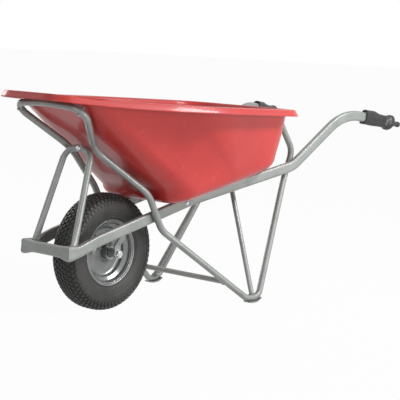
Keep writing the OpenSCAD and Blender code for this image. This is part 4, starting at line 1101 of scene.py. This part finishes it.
def weldPaths(s, w):
    tube = tubeSettings
    tilt, up, back = railWays()
    outer = tube["gap"] / 2 + tube["width"] / 2
    r = s["tube"] / 2
    forward, sideways, upright = Matrix.Identity(3)

    def railZ(x):
        return axleHeight + tube["rise"] - x * tan(tilt)

    paths = []

    # Two beads beside a leg that runs from p to q, where it crosses the rail
    def legBeads(p, q, half, sideAt):
        a, b = p.z - railZ(p.x), q.z - railZ(q.x)
        way = (q - p).normalized()
        beside = way.cross(sideways).normalized()
        for off in (-1, 1):
            middle = p.lerp(q, a / (a - b)) + beside * off * w["beside"]
            middle.y = sideAt(middle.x, middle.z, w["proud"])
            paths.append([middle - way * half, middle + way * half])

    # Front legs on the rails' outer faces
    hoopY = outer + r + s["gap"]
    crossTop = Vector((-s["crossX"], hoopY, axleHeight + s["crossRise"]))
    legFront = Vector((-s["frontX"], hoopY, axleHeight + s["frontRise"]))
    half = (tube["height"] / 2 - w["shortOfEdge"]) / abs((legFront - crossTop).normalized().dot(up))
    legBeads(crossTop, legFront, half, lambda x, z, gap: outer + gap)
    # Rear legs on the splayed rails' inner faces
    splayAt = railPath[3]
    splaySide = (railPath[2] - splayAt).normalized().cross(up)

    def insideRail(x, z, gap):
        away = tube["width"] / 2 + gap + splaySide.x * (x - splayAt.x) + splaySide.z * (z - splayAt.z)
        return splayAt.y - away / splaySide.y

    legTop = Vector((-s["topX"], 0, axleHeight + s["topRise"]))
    bend = Vector((-s["rearX"], 0, axleHeight + s["rearRise"]))
    for p in (legTop, bend):
        p.y = insideRail(p.x, p.z, r + s["gap"])
    legBeads(legTop, bend, w["legHalf"], insideRail)
    # The tie bar, the stay's foot and the brace's foot: a bead round each
    footFront = Vector((-s["footFront"], s["footY"], s["plate"] + r))
    footRear = Vector((-s["footRear"], s["footY"] + s["footSplay"], s["plate"] + r))
    tieEnd = legFront.lerp(footFront, (s["tieX"] - s["frontX"]) / (s["footFront"] - s["frontX"]))
    tieRing = (s["tie"] / 2 + w["proud"],) * 2
    paths.append(ringPath(tieEnd - sideways * (r - w["tieSunk"]), -sideways, upright, tieRing))
    stayFoot = (footFront + footRear) / 2
    crown = Vector((0, s["stayHalf"], axleHeight + tube["rise"]))
    crown += back * s["stayAlong"] + up * (tube["height"] - s["stay"]) / 2
    way = (crown - stayFoot).normalized()
    stayRing = (s["stay"] / 2 + w["proud"],) * 2
    paths.append(ringPath(stayFoot + way * (r + w["stayProud"]), way, forward, stayRing))
    foot = braceRoot + (braceCrown - braceRoot).normalized() * braceSettings["sunk"]
    foot.z += w["braceLift"]
    braceRing = [braceSettings[width] / 2 + w["braceProud"] for width in ("footWide", "footThin")]
    paths.append(ringPath(foot, upright, forward, braceRing))
    # Axle brackets on the rails' inner faces
    inner = tube["gap"] / 2 - tube["width"] / 2
    for x in (-w["bracketHalf"], w["bracketHalf"]):
        ends = (w["bracketLow"], w["bracketHigh"])
        paths.append([Vector((x, inner - w["bracketSunk"], railZ(x) + z)) for z in ends])
    return paths + [[flip(p) for p in path] for path in paths]


# One ripple: a low rounded scale across the bead, leaning along it
def rippleMesh(s):
    rings = []
    for lift, grow in ((-0.5, 1.0), (0.25, 0.97), (0.65, 0.8), (0.92, 0.45), (1.0, 0.12)):
        rings.append([Vector((s["wide"] / 2 * x, s["long"] / 2 * y - 0.5 * lift, s["tall"] / 2 * lift)) * mm
                      for x, y in roundSection(grow, 10)])
    return ringsMesh("weldRipple", rings)


def weldTree():
    tree, given, names = newTree("weldBeads", {"Ripple": ("Object", None), "Pitch": ("Float", 0.0024),
                                               "Unevenness": ("Float", 0.12), "Seed": ("Int", 7),
                                               "Paint": ("Material", None)})
    shape = addNode(tree, "GeometryNodeObjectInfo", {"Object": given["Ripple"]})
    curve = addNode(tree, "GeometryNodeMeshToCurve", {"Mesh": given["Geometry"]})
    points = addNode(tree, "GeometryNodeCurveToPoints",
                     {"Curve": curve, "Length": given["Pitch"]}, mode="LENGTH")
    turn = addNode(tree, "FunctionNodeAlignRotationToVector",
                   {"Vector": points.outputs["Tangent"]}, axis="Y")
    low = addNode(tree, "ShaderNodeMath", {0: 1.0, 1: given["Unevenness"]}, operation="SUBTRACT")
    high = addNode(tree, "ShaderNodeMath", {0: 1.0, 1: given["Unevenness"]}, operation="ADD")
    # Inputs 2 and 3 and output 1 are the random node's number sockets
    uneven = addNode(tree, "FunctionNodeRandomValue", {2: low, 3: high, "Seed": given["Seed"]},
                     data_type="FLOAT").outputs[1]
    scale = addNode(tree, "ShaderNodeCombineXYZ", {"X": uneven, "Y": uneven, "Z": uneven})
    copies = addNode(tree, "GeometryNodeInstanceOnPoints",
                     {"Points": points, "Instance": shape.outputs["Geometry"], "Rotation": turn,
                      "Scale": scale})
    endTree(tree, copies, given["Paint"])
    return tree, names


def makeWelds(s):
    points, edges = [], []
    for path in weldPaths(legSettings, s):
        start = len(points)
        points += [toFrame(p) for p in path]
        edges += [(start + k, start + k + 1) for k in range(len(path) - 1)]
    mesh = bpy.data.meshes.new("weldLines")
    mesh.from_pydata(points, edges, [])
    welds = addObject("weld_beads", mesh)
    ripple = addObject("weldRipple", rippleMesh(s))
    tree, names = weldTree()
    runTree(welds, tree, names, {"Ripple": ripple, "Pitch": s["pitch"] * mm, "Unevenness": s["uneven"],
                                 "Seed": s["seed"], "Paint": silverPaint})
    bpy.data.objects.remove(ripple)
    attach(welds, "frame")


makeWelds(weldSettings)
print("welds laid")
